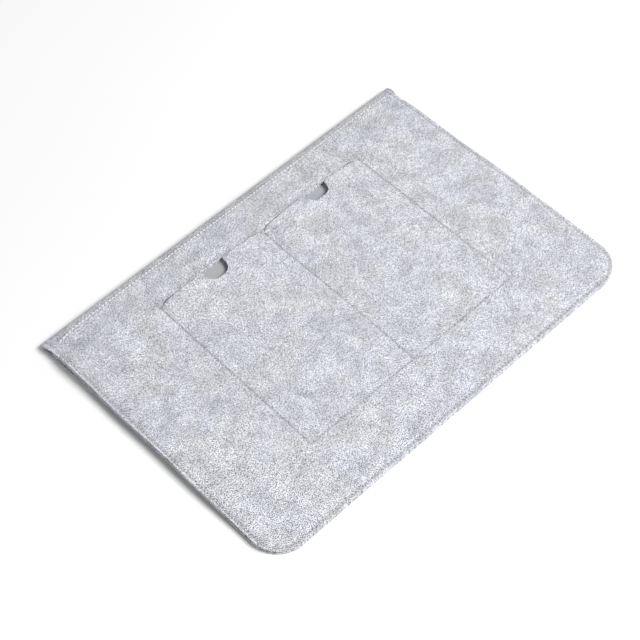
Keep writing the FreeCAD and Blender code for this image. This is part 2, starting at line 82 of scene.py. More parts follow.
@dataclass(frozen=True)
class Lie:
    """How the sewn sleeve lies over its closed flap: the height of every layer at every place."""

    half_width: float = 171.0
    end: float = 123.0
    corner: float = 23.0
    felt: float = 2.0
    pinch: float = 1.0  # the linings' room in the sewn rim
    floor_height: float = 0.3  # of the front felt past the flap's free edge
    tape_height: float = 4.1  # of the front felt over the closure tapes
    fold_height: float = 2.7  # of the front felt by the fold
    droop_y: float = -117.0  # where the front felt lies on the surface
    droop_run: float = 102.0  # from there to the tapes
    side_lift: float = 1.7  # of the front felt a little below the fold
    lift_y: float = 92.0
    lift_run: float = 24.0
    settle_y: float = 97.0  # where the front felt begins to come down to the fold
    settle_run: float = 17.0
    seam_inset: float = 2.4
    seam_dent: float = 0.3
    dent_half: float = 0.95
    crease_y: float = 114.0
    crease_dent: float = 0.12
    crease_half: float = 0.9
    lining_inset: float = 1.0
    lining_end: float = 113.0
    tape_middle: tuple[float, float] = (95.0, 7.9)
    flare: dict[Side, float] = field(default_factory=lambda: {Side.LEFT: 1.2, Side.RIGHT: 2.3})
    fold_radius_middle: float = 6.0
    fold_radius_end: float = 4.2
    fold_bow: float = 1.42  # 1 for a plain ellipse, 2 for a straight slope
    shoulder: float = 5.5  # how much further the back felt's rounding reaches than the flap's
    rise_y: float = 90.0  # where the back felt begins to rise to the fold
    swell_low: float = 2.0
    swell_high: float = 3.5
    rim_flat: float = 2.8  # the strip outside the rim's seam, which stays pinched
    swell_near: float = 4.5
    swell_far: float = 24.0
    near_share: float = 0.38
    mouth_y: float = 82.0
    divider_x: float = 3.5
    pocket_width: float = 98.0
    pocket_end: float = -74.5
    lip_rise: float = 3.0
    lip_drop: float = 4.0  # of each lip's rounded ends
    lip_round: float = 6.5
    lip_reach: float = 24.0  # how far down the pocket the lip's rise is felt
    pocket_swell: float = 0.45

    @property
    def pocket_left(self) -> float:
        """X of the pockets' left seam."""
        return self.divider_x - self.pocket_width

    @property
    def pocket_right(self) -> float:
        """X of the pockets' right seam."""
        return self.divider_x + self.pocket_width

    def underside(self, x: np.ndarray, y: np.ndarray) -> np.ndarray:
        """Height of the front felt's outer face, which droops to the surface past the flap.

        Args:
            x: places across the sleeve.
            y: places along it.

        Returns:
            The height at each place.
        """
        over_flap = smooth((y - self.droop_y) / self.droop_run)
        leftwards = 1.0 - 0.7 * smooth(x / 170.0 + 0.3)
        lifted = self.side_lift * np.exp(-(((y - self.lift_y) / self.lift_run) ** 2)) * leftwards
        high = self.tape_height + lifted
        high = high - (high - self.fold_height) * smooth((y - self.settle_y) / self.settle_run)
        return self.floor_height + (high - self.floor_height) * over_flap

    def from_rim(self, x: np.ndarray, y: np.ndarray) -> np.ndarray:
        """Distance inwards from the sides, the bottom edge and their rounded corners.

        Args:
            x: places across the sleeve.
            y: places along it.

        Returns:
            The distance at each place, below 0 outside the felt.
        """
        across = np.abs(x) - (self.half_width - self.corner)
        down = (self.corner - self.end) - y
        outside = np.hypot(np.maximum(across, 0.0), np.maximum(down, 0.0))
        inside = np.minimum(np.maximum(across, down), 0.0)
        return self.corner - outside - inside

    def gap(self, x: np.ndarray, y: np.ndarray) -> np.ndarray:
        """Height between the front felt and the back felt.

        Args:
            x: places across the sleeve.
            y: places along it.

        Returns:
            The height at each place.
        """
        swell = self.swell_low + (self.swell_high - self.swell_low) * smooth((y + 30.0) / 120.0)
        inwards = np.maximum(self.from_rim(x, y) - self.rim_flat, 0.0)
        near, far = (1.0 - np.exp(-inwards / reach) for reach in (self.swell_near, self.swell_far))
        return self.pinch + swell * (self.near_share * near + (1.0 - self.near_share) * far)

    def dent(self, x: np.ndarray, y: np.ndarray) -> np.ndarray:
        """How far the rim's seam pulls each outer face in.

        Args:
            x: places across the sleeve.
            y: places along it.

        Returns:
            The dent's depth at each place.
        """
        sewn = smooth((117.0 - y) / 3.0)
        off = (self.from_rim(x, y) - self.seam_inset) / self.dent_half
        return self.seam_dent * sewn * np.exp(-(off**2))

    def fold_radius(self, x: np.ndarray) -> np.ndarray:
        """Outer radius of the fold, which is tighter at its ends.

        Args:
            x: places across the sleeve.

        Returns:
            The radius at each place.
        """
        inwards = np.maximum(self.half_width - np.abs(x), 0.0)
        grown = 1.0 - np.exp(-inwards / 20.0)
        return self.fold_radius_end + (self.fold_radius_middle - self.fold_radius_end) * grown

    def fold_centre(self, x: np.ndarray) -> np.ndarray:
        """Y of the fold's middle line: a tighter fold leaves more felt to either side."""
        spare = self.fold_radius_middle - self.fold_radius(x)
        return self.end - self.fold_radius_middle + spare * math.pi / 2

    @property
    def crease(self) -> float:
        """Length of felt from the sleeve's middle to the crest of the fold."""
        start = self.end - self.fold_radius_middle - self.shoulder
        return start + float(self.shoulder_table()[2])

    def shoulder_table(self) -> tuple[np.ndarray, np.ndarray, float]:
        """How the back felt rounds over into the fold, as a quarter of a flattened ellipse.

        Returns:
            Shares of its length, the angle at each, and the whole length.
        """
        angle = np.linspace(0.0, math.pi / 2, 200)
        high = self.fold_radius_middle - self.felt / 2
        across, up = np.sin(angle) ** self.fold_bow, np.abs(np.cos(angle)) ** self.fold_bow
        path = np.column_stack(((high + self.shoulder) * across, high * up))
        run = np.concatenate(([0.0], np.cumsum(np.linalg.norm(np.diff(path, axis=0), axis=1))))
        return run / run[-1], angle, float(run[-1])

    def pocket_edges(self, x: np.ndarray) -> tuple[np.ndarray, np.ndarray]:
        """How far each place is from its pocket's nearer side seam, and from its middle as a share.

        Args:
            x: places across the sleeve.

        Returns:
            The distance from the seam, below 0 outside the pockets, and the share.
        """
        off = np.abs(np.abs(x - self.divider_x) - self.pocket_width / 2)
        return self.pocket_width / 2 - off, off / (self.pocket_width / 2)

    def lip(self, x: np.ndarray) -> np.ndarray:
        """Y of the pockets' lips, whose ends are rounded down to the seams.

        Args:
            x: places across the sleeve.

        Returns:
            The lip's Y at each place.
        """
        from_seam, _ = self.pocket_edges(x)
        short = np.clip(1.0 - from_seam / self.lip_round, 0.0, 1.0)
        return self.mouth_y - self.lip_drop * (1.0 - np.sqrt(1.0 - short**2))

    def pocket_rise(self, x: np.ndarray, y: np.ndarray) -> np.ndarray:
        """How far the pockets' felt stands above the panel round them.

        Args:
            x: places across the sleeve.
            y: places along it.

        Returns:
            The rise at each place.
        """
        from_seam, share = self.pocket_edges(x)
        across = np.where(from_seam > 0.0, 1.0 - np.minimum(share, 1.0) ** 5, 0.0)
        below = self.lip(x) + 0.7 - y
        fall = self.lip_rise * np.exp(-np.maximum(below, 0.0) / self.lip_reach)
        rest = self.pocket_swell * smooth((y - self.pocket_end) / 16.0)
        inside = (below > 0.0) & (y > self.pocket_end)
        ends = smooth((y - self.pocket_end) / 30.0)
        return np.where(inside, across * (fall * ends + rest), 0.0)

    def wave(self, x: np.ndarray, y: np.ndarray) -> np.ndarray:
        """The soft unevenness of a panel that has been handled.

        Args:
            x: places across the sleeve.
            y: places along it.

        Returns:
            The height that is added at each place.
        """
        inwards = 1.0 - np.exp(-np.maximum(self.from_rim(x, y), 0.0) / 22.0)
        long = 0.24 * np.sin(x / 41.0 + 1.3) * np.cos(y / 33.0 + 0.4)
        short = 0.10 * np.sin((x + 0.8 * y) / 15.0) + 0.07 * np.cos((x - 1.7 * y) / 11.0 + 0.8)
        return inwards * (long + short)

    def top(self, x: np.ndarray, y: np.ndarray) -> np.ndarray:
        """Height of the back felt's outer face, without the pockets' rise.

        Args:
            x: places across the sleeve.
            y: places along it.

        Returns:
            The height at each place.
        """
        level = self.underside(x, y) + self.gap(x, y) + 2.0 * self.felt + self.wave(x, y)
        level = level - self.dent(x, y)
        share = smooth((y - self.rise_y) / (self.fold_centre(x) - self.shoulder - self.rise_y))
        return level + (2.0 * self.fold_radius(x) - level) * share

    def back(self, x: np.ndarray, along: np.ndarray, depth: float, raised: bool = True) -> np.ndarray:
        """Places of the back felt and what is sewn under it.

        Args:
            x: places across the sleeve.
            along: places along the felt, which equal Y until the fold begins.
            depth: how far under the outer face.
            raised: whether the pockets' rise is followed.

        Returns:
            One row of X, Y and Z for each place.
        """
        radius, centre = self.fold_radius(x), self.fold_centre(x) - self.shoulder
        flat_y = np.minimum(along, centre)
        shares, angles, _ = self.shoulder_table()
        share = np.clip((along - centre) / (self.crease - centre), 0.0, 1.0)
        turn = np.interp(share, shares, angles)
        height = self.top(x, flat_y)
        if raised:
            height = height + self.pocket_rise(x, flat_y)
        wide = radius + self.shoulder
        bow = self.fold_bow
        tilt = np.arctan2(radius * np.sin(turn) ** (2.0 - bow), wide * np.cos(turn) ** (2.0 - bow))
        pulled = self.crease_dent * np.exp(-(((along - self.crease_y) / self.crease_half) ** 2))
        over = radius + radius * np.maximum(np.cos(turn), 0.0) ** bow - depth * np.cos(tilt)
        z = np.where(turn > 0.0, over, height - depth) - pulled
        out = wide * np.sin(turn) ** bow - depth * np.sin(tilt)
        y = flat_y + np.where(turn > 0.0, out, 0.0)
        return np.column_stack((x, y, z))

    def under_back(self, x: np.ndarray, along: np.ndarray, depth: float) -> np.ndarray:
        """Places of what lies behind the pockets, which doesn't follow their rise."""
        return self.back(x, along, depth, raised=False)

    def front(self, x: np.ndarray, y: np.ndarray, depth: float) -> np.ndarray:
        """Places of the front felt and its lining, depth above the felt's outer face."""
        pulled = self.dent(x, y) * (1.0 if depth < self.felt / 2 else -0.2)
        return np.column_stack((x, y, self.underside(x, y) + depth + pulled))

    def flap(self, x: np.ndarray, along: np.ndarray, depth: float) -> np.ndarray:
        """Places of the flap's felt and lining, depth above the felt's outer face.

        Args:
            x: places across the sleeve.
            along: places along the felt, which equal Y until the fold begins.
            depth: how far under the outer face.

        Returns:
            One row of X, Y and Z for each place.
        """
        radius, centre = self.fold_radius(x), self.fold_centre(x)
        share = np.clip((along - centre) / (self.crease - centre), 0.0, 1.0)
        turn = share * math.pi / 2
        y = np.minimum(along, centre) + (radius - depth) * np.sin(turn)
        z = radius - (radius - depth) * np.cos(turn)
        return np.column_stack((x, y, z))


# ------------------------------------------------------------------ cutting and laying cloth


def rounded(points: list[tuple[float, float]], radii: list[float], step: float) -> np.ndarray:
    """A closed outline through corner points, with each corner rounded.

    Args:
        points: the corners, counter-clockwise.
        radii: each corner's radius, 0 for a sharp one.
        step: the spacing of the outline's points.

    Returns:
        The outline's points.
    """
    line: list[np.ndarray] = []
    count = len(points)
    for index, radius in enumerate(radii):
        here = np.array(points[index])
        before = np.array(points[index - 1]) - here
        after = np.array(points[(index + 1) % count]) - here
        before, after = before / np.linalg.norm(before), after / np.linalg.norm(after)
        if radius <= 0.0:
            line.append(here)
            continue
        half = math.acos(float(np.clip(before @ after, -1.0, 1.0))) / 2
        middle = (before + after) / np.linalg.norm(before + after)
        centre = here + middle * radius / math.sin(half)
        start, stop = here + before * radius / math.tan(half), here + after * radius / math.tan(half)
        first = math.atan2(*(start - centre)[::-1])
        sweep = math.atan2(*(stop - centre)[::-1]) - first
        sweep = (sweep + math.pi) % (2 * math.pi) - math.pi
        parts = max(3, round(abs(sweep) * radius / step))
        for share in np.linspace(0.0, 1.0, parts + 1):
            angle = first + sweep * share
            line.append(centre + radius * np.array((math.cos(angle), math.sin(angle))))
    return filled(np.array(line), step)


def bag_outline(half: float, low: float, top: float, radius: float, step: float) -> np.ndarray:
    """An outline that is square at its top and rounded at its two lower corners.

    Args:
        half: half its width.
        low: Y of its lower edge.
        top: Y of its upper edge.
        radius: the lower corners' radius.
        step: the spacing of the outline's points.

    Returns:
        The outline's points.
    """
    corners = [(-half, top), (-half, low), (half, low), (half, top)]
    return rounded(corners, [0.0, radius, radius, 0.0], step)


def filled(line: np.ndarray, step: float, closed: bool = True) -> np.ndarray:
    """The same line with points added so that none are further apart than step.

    Args:
        line: the line's points.
        step: the greatest distance between two points.
        closed: whether the last point joins the first.

    Returns:
        The line's points with those added.
    """
    ends = np.roll(line, -1, axis=0) if closed else line[1:]
    points: list[np.ndarray] = []
    for start, stop in zip(line, ends):
        parts = max(1, math.ceil(float(np.linalg.norm(stop - start)) / step - 0.01))
        points.extend(start + (stop - start) * share / parts for share in range(parts))
    if not closed:
        points.append(line[-1])
    return np.array(points)


def within(points: np.ndarray, outline: np.ndarray) -> np.ndarray:
    """Which points lie inside a closed outline.

    Args:
        points: the places to test.
        outline: the outline's points.

    Returns:
        True for each point that lies inside.
    """
    inside = np.zeros(len(points), bool)
    ends = np.roll(outline, -1, axis=0)
    x, y = points[:, 0], points[:, 1]
    for (x0, y0), (x1, y1) in zip(outline, ends):
        if y0 == y1:
            continue
        crosses = (y0 > y) != (y1 > y)
        inside ^= crosses & (x < (x1 - x0) * (y - y0) / (y1 - y0) + x0)
    return inside


@dataclass
class Cloth:
    """A cloth that is cut flat and then laid in place with its real thickness."""

    name: str
    outline: np.ndarray
    thickness: float
    place: Placer
    spacing: float = 2.6
    openings: list[np.ndarray] = field(default_factory=list)
    fine: list[tuple[float, float, float, float]] = field(default_factory=list)
    fine_spacing: float = 1.1
    edge: float = 0.35  # width of the cut edges' softened corners
    start: float = 0.0  # depth of the cloth's outer face
    pattern: Callable[[np.ndarray], np.ndarray] | None = None

    def grid(self, spacing: float) -> np.ndarray:
        """Points in staggered rows over the outline's box.

        Args:
            spacing: the distance between the points of a row.

        Returns:
            One row of X and Y for each point.
        """
        low, high = self.outline.min(0), self.outline.max(0)
        rows = np.arange(low[1] + spacing * 0.37, high[1], spacing * 0.866)
        points = []
        for index, y in enumerate(rows):
            x = np.arange(low[0] + spacing * (0.31 + 0.5 * (index % 2)), high[0], spacing)
            points.append(np.column_stack((x, np.full(len(x), y))))
        return np.concatenate(points)

    def flat_mesh(self) -> tuple[np.ndarray, np.ndarray]:
        """The flat cut as points and triangles that keep to the outline and the openings.

        Returns:
            The points, and each triangle as the numbers of its points.
        """
        loops = [self.outline, *self.openings]
        edges, first = [], 0
        for loop in loops:
            count = len(loop)
            edges.extend((first + i, first + (i + 1) % count) for i in range(count))
            first += count
        border = np.concatenate(loops)
        coarse, close = self.grid(self.spacing), self.grid(self.fine_spacing)
        for left, right, bottom, top in self.fine:
            for_fine = np.array((left, bottom)), np.array((right, top))
            coarse = coarse[~np.all((coarse > for_fine[0]) & (coarse < for_fine[1]), axis=1)]
        chosen = np.zeros(len(close), bool)
        for left, right, bottom, top in self.fine:
            chosen |= np.all((close > (left, bottom)) & (close < (right, top)), axis=1)
        inner = np.concatenate((coarse, close[chosen]))
        inner = inner[self.kept(inner)]
        inner = inner[self.clear(inner, border)]
        corners = [Vector(p) for p in np.concatenate((border, inner)).tolist()]
        made = delaunay_2d_cdt(corners, edges, [], 0, 1e-5)
        flat = np.array([tuple(p) for p in made[0]])
        triangles = np.array([f for f in made[2] if len(f) == 3])
        middles = flat[triangles].mean(1)
        return flat, triangles[self.kept(middles)]

    def kept(self, points: np.ndarray) -> np.ndarray:
        """Which points lie on the cloth.

        Args:
            points: places on the flat cut.

        Returns:
            True for each point that lies on the cloth.
        """
        keep = within(points, self.outline)
        for opening in self.openings:
            keep &= ~within(points, opening)
        return keep

    def clear(self, points: np.ndarray, border: np.ndarray) -> np.ndarray:
        """Which points keep off the border's points by half the fine spacing.

        Args:
            points: places on the flat cut.
            border: the points of the cut's edges.

        Returns:
            True for each point that keeps off.
        """
        least = np.full(len(points), np.inf)
        for chunk in np.array_split(border, max(1, len(border) // 64)):
            apart = points[:, None, :] - chunk[None, :, :]
            least = np.minimum(least, (apart**2).sum(2).min(1))
        return least > (self.fine_spacing * 0.62) ** 2

    def lay(self) -> bpy.types.Object:
        """The closed mesh of the cloth in place, with its flat place kept in an attribute.

        Returns:
            The cloth's object.
        """
        flat, triangles = self.flat_mesh()
        used = np.unique(triangles)
        order = np.full(len(flat), -1)
        order[used] = np.arange(len(used))
        flat, triangles = flat[used], order[triangles]
        count = len(flat)
        outer = self.place(flat[:, 0], flat[:, 1], self.start)
        inner = self.place(flat[:, 0], flat[:, 1], self.start + self.thickness)
        pairs = triangles[:, [0, 1, 1, 2, 2, 0]].reshape(-1, 2)
        key = np.sort(pairs, axis=1)
        _, where, uses = np.unique(key, axis=0, return_index=True, return_counts=True)
        rim = pairs[where[uses == 1]]
        walls = np.column_stack((rim[:, 1], rim[:, 0], rim[:, 0] + count, rim[:, 1] + count))
        faces = triangles.tolist() + (triangles[:, ::-1] + count).tolist() + walls.tolist()
        piece = new_piece(self.name, np.concatenate((outer, inner)), faces)
        placed = np.zeros((2 * count, 3), np.float32)
        pattern = self.pattern(flat) if self.pattern else flat
        placed[:count, :2], placed[count:, :2] = pattern, pattern
        placed[count:, 2] = -self.thickness
        flat_place = piece.data.attributes.new(PLACE, "FLOAT_VECTOR", "POINT")
        flat_place.data.foreach_set("vector", placed.ravel())
        finish_mesh(piece, self.edge)
        log.info("%s: %d faces", self.name, len(piece.data.polygons))
        return piece


def new_piece(name: str, points: np.ndarray, faces: list) -> bpy.types.Object:
    """A new object in the scene.

    Args:
        name: the object's name.
        points: its points, in millimetres.
        faces: the points of each face.

    Returns:
        The object.
    """
    mesh = bpy.data.meshes.new(name)
    mesh.from_pydata((points * MM).tolist(), [], faces)
    mesh.validate()
    piece = bpy.data.objects.new(name, mesh)
    bpy.context.scene.collection.objects.link(piece)
    return piece


def take_model(piece: bpy.types.Object) -> tuple[np.ndarray, list[tuple[int, ...]]]:
    """The points and faces of an object, which is then removed.

    Args:
        piece: the object to take.

    Returns:
        The points, and each face as the numbers of its points.
    """
    points = np.array([v.co[:] for v in piece.data.vertices])
    faces = [tuple(p.vertices) for p in piece.data.polygons]
    mesh = piece.data
    bpy.data.objects.remove(piece)
    bpy.data.meshes.remove(mesh)
    return points, faces


def only(piece: bpy.types.Object) -> None:
    """Makes one object the selected and active one.

    Args:
        piece: the object to select.
    """
    bpy.ops.object.select_all(action="DESELECT")
    piece.select_set(True)
    bpy.context.view_layer.objects.active = piece


def finish_mesh(piece: bpy.types.Object, edge: float = 0.0, angle: float = 50.0) -> None:
    """Turns the faces outwards, softens the sharp edges and smooths the shading.

    Args:
        piece: the object to finish.
        edge: width of the softened edges, 0 for none.
        angle: the angle in degrees past which an edge is sharp.
    """
    only(piece)
    bpy.ops.object.mode_set(mode="EDIT")
    bpy.ops.mesh.select_all(action="SELECT")
    bpy.ops.mesh.normals_make_consistent(inside=False)
    bpy.ops.object.mode_set(mode="OBJECT")
    if edge > 0.0:
        bevel = piece.modifiers.new("soft_edge", "BEVEL")
        bevel.width = edge * MM
        bevel.segments = 2
        bevel.limit_method = "ANGLE"
        bevel.angle_limit = math.radians(angle)
        bpy.ops.object.modifier_apply(modifier=bevel.name)
    bpy.ops.object.shade_smooth_by_angle(angle=math.radians(angle))


# ------------------------------------------------------------------ stitches


@dataclass(frozen=True)
class Stitch:
    """One stitch of thread, which sinks into the felt at both ends."""

    pitch: float = 3.1
    length: float = 2.5
    width: float = 0.62
    height: float = 0.5
    proud: float = 0.12  # of its middle line, above the felt

    def model(self) -> tuple[np.ndarray, list[tuple[int, ...]]]:
        """The stitch's points and faces about the origin, lying along X.

        Returns:
            The points, and each face as the numbers of its points.
        """
        bpy.ops.object.select_all(action="DESELECT")
        bpy.ops.mesh.primitive_uv_sphere_add(segments=8, ring_count=6, radius=0.5)
        ball = bpy.context.object
        ball.rotation_euler = (0.0, math.pi / 2, 0.0)
        ball.scale = (self.height, self.width, self.length)
        bpy.ops.object.transform_apply(location=True, rotation=True, scale=True)
        points, faces = take_model(ball)
        middle = 1.0 - (2.0 * points[:, 0] / self.length) ** 2
        points[:, 2] += 0.35 * self.height * (middle - 0.5)
        return points, faces


TAPE_STITCH = Stitch(pitch=2.6, length=2.1, width=0.45, height=0.3, proud=0.0)


@dataclass
class Seam:
    """Rows of stitches along flat lines, which follow the cloth that they hold."""

    name: str
    stitch: Stitch = field(default_factory=Stitch)
    rows: list[tuple[np.ndarray, Placer, float, float, Stitch]] = field(default_factory=list)

    def add(
        self, line: np.ndarray, place: Placer, depth: float, up: float, stitch: Stitch | None = None
    ) -> "Seam":
        """Adds one row.

        Args:
            line: the row's flat line.
            place: what lays the line in place.
            depth: the depth of the face that the row shows on.
            up: 1.0 where that face looks up, -1.0 where it looks down.
            stitch: the row's own stitch, where it isn't the seam's.

        Returns:
            The seam itself.
        """
        flat = filled(np.asarray(line, float), 1.0, closed=False)
        self.rows.append((flat, place, depth, up, stitch or self.stitch))
        return self

    def sew(self) -> bpy.types.Object:
        """One object that holds every stitch of the rows.

        Returns:
            The stitches' object.
        """
        points: list[np.ndarray] = []
        joined: list[tuple[int, ...]] = []
        for line, place, depth, up, stitch in self.rows:
            model, faces = stitch.model()
            steps = np.linalg.norm(np.diff(line, axis=0), axis=1)
            run = np.concatenate(([0.0], np.cumsum(steps)))
            count = max(1, int(run[-1] / stitch.pitch))
            pitch = run[-1] / count
            for index in range(count):
                ends = (index + 0.5) * pitch + np.array((-0.4, 0.0, 0.4)) * pitch
                x, y = np.interp(ends, run, line[:, 0]), np.interp(ends, run, line[:, 1])
                spots = place(x, y, depth)
                forward = spots[2] - spots[0]
                forward /= np.linalg.norm(forward)
                beside = place(x[1:2] + 0.4, y[1:2], depth)[0] - place(x[1:2] - 0.4, y[1:2], depth)[0]
                ahead = place(x[1:2], y[1:2] + 0.4, depth)[0] - place(x[1:2], y[1:2] - 0.4, depth)[0]
                normal = np.cross(beside, ahead)
                normal *= up * np.sign(normal[2] if abs(normal[2]) > 1e-6 else 1.0)
                normal /= np.linalg.norm(normal)
                across = np.cross(normal, forward)
                across /= np.linalg.norm(across)
                first = len(points) * len(model)
                middle = spots[1] + normal * stitch.proud
                axes = np.stack((forward, across, np.cross(forward, across)))
                points.append(middle + model @ axes)
                joined.extend(tuple(first + v for v in face) for face in faces)
        piece = new_piece(self.name, np.concatenate(points), joined)
        finish_mesh(piece)
        log.info("%s: %d stitches", self.name, len(points))
        return piece


# ------------------------------------------------------------------ finishes


class Wiring:
    """Adds and joins the nodes of one tree."""

    def __init__(self, tree: bpy.types.NodeTree) -> None:
        """Keeps the tree."""
        self.tree = tree

    def add(self, kind: str, **settings: object) -> bpy.types.Node:
        """A new node with its settings.

        Args:
            kind: the node's type.
            settings: its properties and their values.

        Returns:
            The node.
        """
        node = self.tree.nodes.new(kind)
        for name, value in settings.items():
            setattr(node, name, value)
        return node

    def feed(self, socket: bpy.types.NodeSocket, value: object) -> None:
        """Joins an output to the socket, or sets the socket's own value.

        Args:
            socket: the input to fill.
            value: an output, or a plain value.
        """
        if isinstance(value, bpy.types.NodeSocket):
            self.tree.links.new(value, socket)
        else:
            socket.default_value = value

    def math(self, operation: str, a: object, b: object = 0.0, clamp: bool = False) -> bpy.types.NodeSocket:
        """The result of one sum.

        Args:
            operation: which sum.
            a: the first term.
            b: the second term.
            clamp: whether the result is held between 0 and 1.

        Returns:
            The result's output.
        """
        node = self.add("ShaderNodeMath", operation=operation, use_clamp=clamp)
        self.feed(node.inputs[0], a)
        self.feed(node.inputs[1], b)
        return node.outputs[0]

    def far(self, x: bpy.types.NodeSocket, y: bpy.types.NodeSocket) -> bpy.types.NodeSocket:
        """The length of the line whose two parts are x and y."""
        return self.math("SQRT", self.math("ADD", self.math("POWER", x, 2.0), self.math("POWER", y, 2.0)))

    def vector(self, operation: str, a: object, b: object = (0.0, 0.0, 0.0)) -> bpy.types.NodeSocket:
        """The vector result of one vector sum.

        Args:
            operation: which sum.
            a: the first term.
            b: the second term.

        Returns:
            The result's output.
        """
        node = self.add("ShaderNodeVectorMath", operation=operation)
        self.feed(node.inputs[0], a)
        self.feed(node.inputs[1], b)
        return node.outputs[0]

    def noise(
        self, place: object, size: float, detail: float = 2.0, rough: float = 0.5, swirl: float = 0.0
    ) -> bpy.types.NodeSocket:
        """Noise whose features are about size across.

        Args:
            place: where the noise is read.
            size: the size of a feature.
            detail: how many finer layers are added.
            rough: how strong those layers are.
            swirl: how far the pattern is bent.

        Returns:
            The noise's output.
        """
        node = self.add("ShaderNodeTexNoise")
        self.feed(node.inputs["Vector"], place)
        node.inputs["Scale"].default_value = 1.0 / size
        node.inputs["Detail"].default_value = detail
        node.inputs["Roughness"].default_value = rough
        node.inputs["Distortion"].default_value = swirl
        return node.outputs[0]

    def span(
        self, value: object, low: float, high: float, to_low: float = 0.0, to_high: float = 1.0
    ) -> bpy.types.NodeSocket:
        """The value carried from one range to another, and held at its ends.

        Args:
            value: the value to carry.
            low: where its range starts.
            high: where its range ends.
            to_low: the result at the start.
            to_high: the result at the end.

        Returns:
            The result's output.
        """
        node = self.add("ShaderNodeMapRange", clamp=True, interpolation_type="SMOOTHSTEP")
        self.feed(node.inputs["Value"], value)
        node.inputs["From Min"].default_value = low
        node.inputs["From Max"].default_value = high
        node.inputs["To Min"].default_value = to_low
        node.inputs["To Max"].default_value = to_high
        return node.outputs["Result"]

    def mix(self, share: object, a: object, b: object, blend: str = "MIX") -> bpy.types.NodeSocket:
        """A blend of two colours.

        Args:
            share: how much of the second colour.
            a: the first colour.
            b: the second colour.
            blend: how the two are blended.

        Returns:
            The colour's output.
        """
        node = self.add("ShaderNodeMix", data_type="RGBA", blend_type=blend)
        self.feed(node.inputs[0], share)
        self.feed(node.inputs[6], a)
        self.feed(node.inputs[7], b)
        return node.outputs[2]

    def place(self) -> bpy.types.NodeSocket:
        """The flat place on the cloth, in millimetres."""
        return self.add("ShaderNodeAttribute", attribute_name=PLACE).outputs["Vector"]

    def split(self, vector: bpy.types.NodeSocket) -> bpy.types.bpy_prop_collection:
        """The three parts of a vector.

        Args:
            vector: the vector's output.

        Returns:
            The outputs of X, Y and Z.
        """
        node = self.add("ShaderNodeSeparateXYZ")
        self.feed(node.inputs[0], vector)
        return node.outputs

    def relief(
        self, surface: bpy.types.Node, height: bpy.types.NodeSocket, strength: float, depth: float
    ) -> None:
        """Gives a surface a bump.

        Args:
            surface: the surface's node.
            height: the pattern of heights.
            strength: how much of the bump shows.
            depth: its depth in millimetres.
        """
        bump = self.add("ShaderNodeBump")
        bump.inputs["Strength"].default_value = strength
        bump.inputs["Distance"].default_value = depth * MM
        self.feed(bump.inputs["Height"], height)
        self.feed(surface.inputs["Normal"], bump.outputs["Normal"])

    def use(self, group: bpy.types.NodeTree, **values: object) -> bpy.types.Node:
        """One copy of a group with its values.

        Args:
            group: the group to place.
            values: what feeds each input, whose name has _ for a space.

        Returns:
            The copy's node.
        """
        node = self.add("ShaderNodeGroup", node_tree=group)
        for name, value in values.items():
            self.feed(node.inputs[name.replace("_", " ")], value)
        return node


Colour = tuple[float, float, float, float]


def dimmed(colour: Colour, share: float) -> Colour:
    """The colour made darker by the share that is kept."""
    return tuple(share * c for c in colour[:3]) + (1.0,)


def grey(level: float, warmth: float = 0.0, lilac: float = 0.0) -> Colour:
    """A grey, made warmer or cooler by warmth and a little purple by lilac."""
    return (level * (1.0 + warmth + lilac), level, level * (1.0 - warmth + 2.0 * lilac), 1.0)


def new_group(
    name: str, inputs: dict[str, str], outputs: dict[str, str]
) -> tuple[bpy.types.NodeTree, bpy.types.Node, bpy.types.Node]:
    """An empty node group with its sockets.

    Args:
        name: the group's name.
        inputs: the name and type of each input.
        outputs: the name and type of each output.

    Returns:
        The group, its input node and its output node.
    """
    tree = bpy.data.node_groups.new(name, "ShaderNodeTree")
    for label, kind in inputs.items():
        tree.interface.new_socket(name=label, in_out="INPUT", socket_type=kind)
    for label, kind in outputs.items():
        tree.interface.new_socket(name=label, in_out="OUTPUT", socket_type=kind)
    return tree, tree.nodes.new("NodeGroupInput"), tree.nodes.new("NodeGroupOutput")


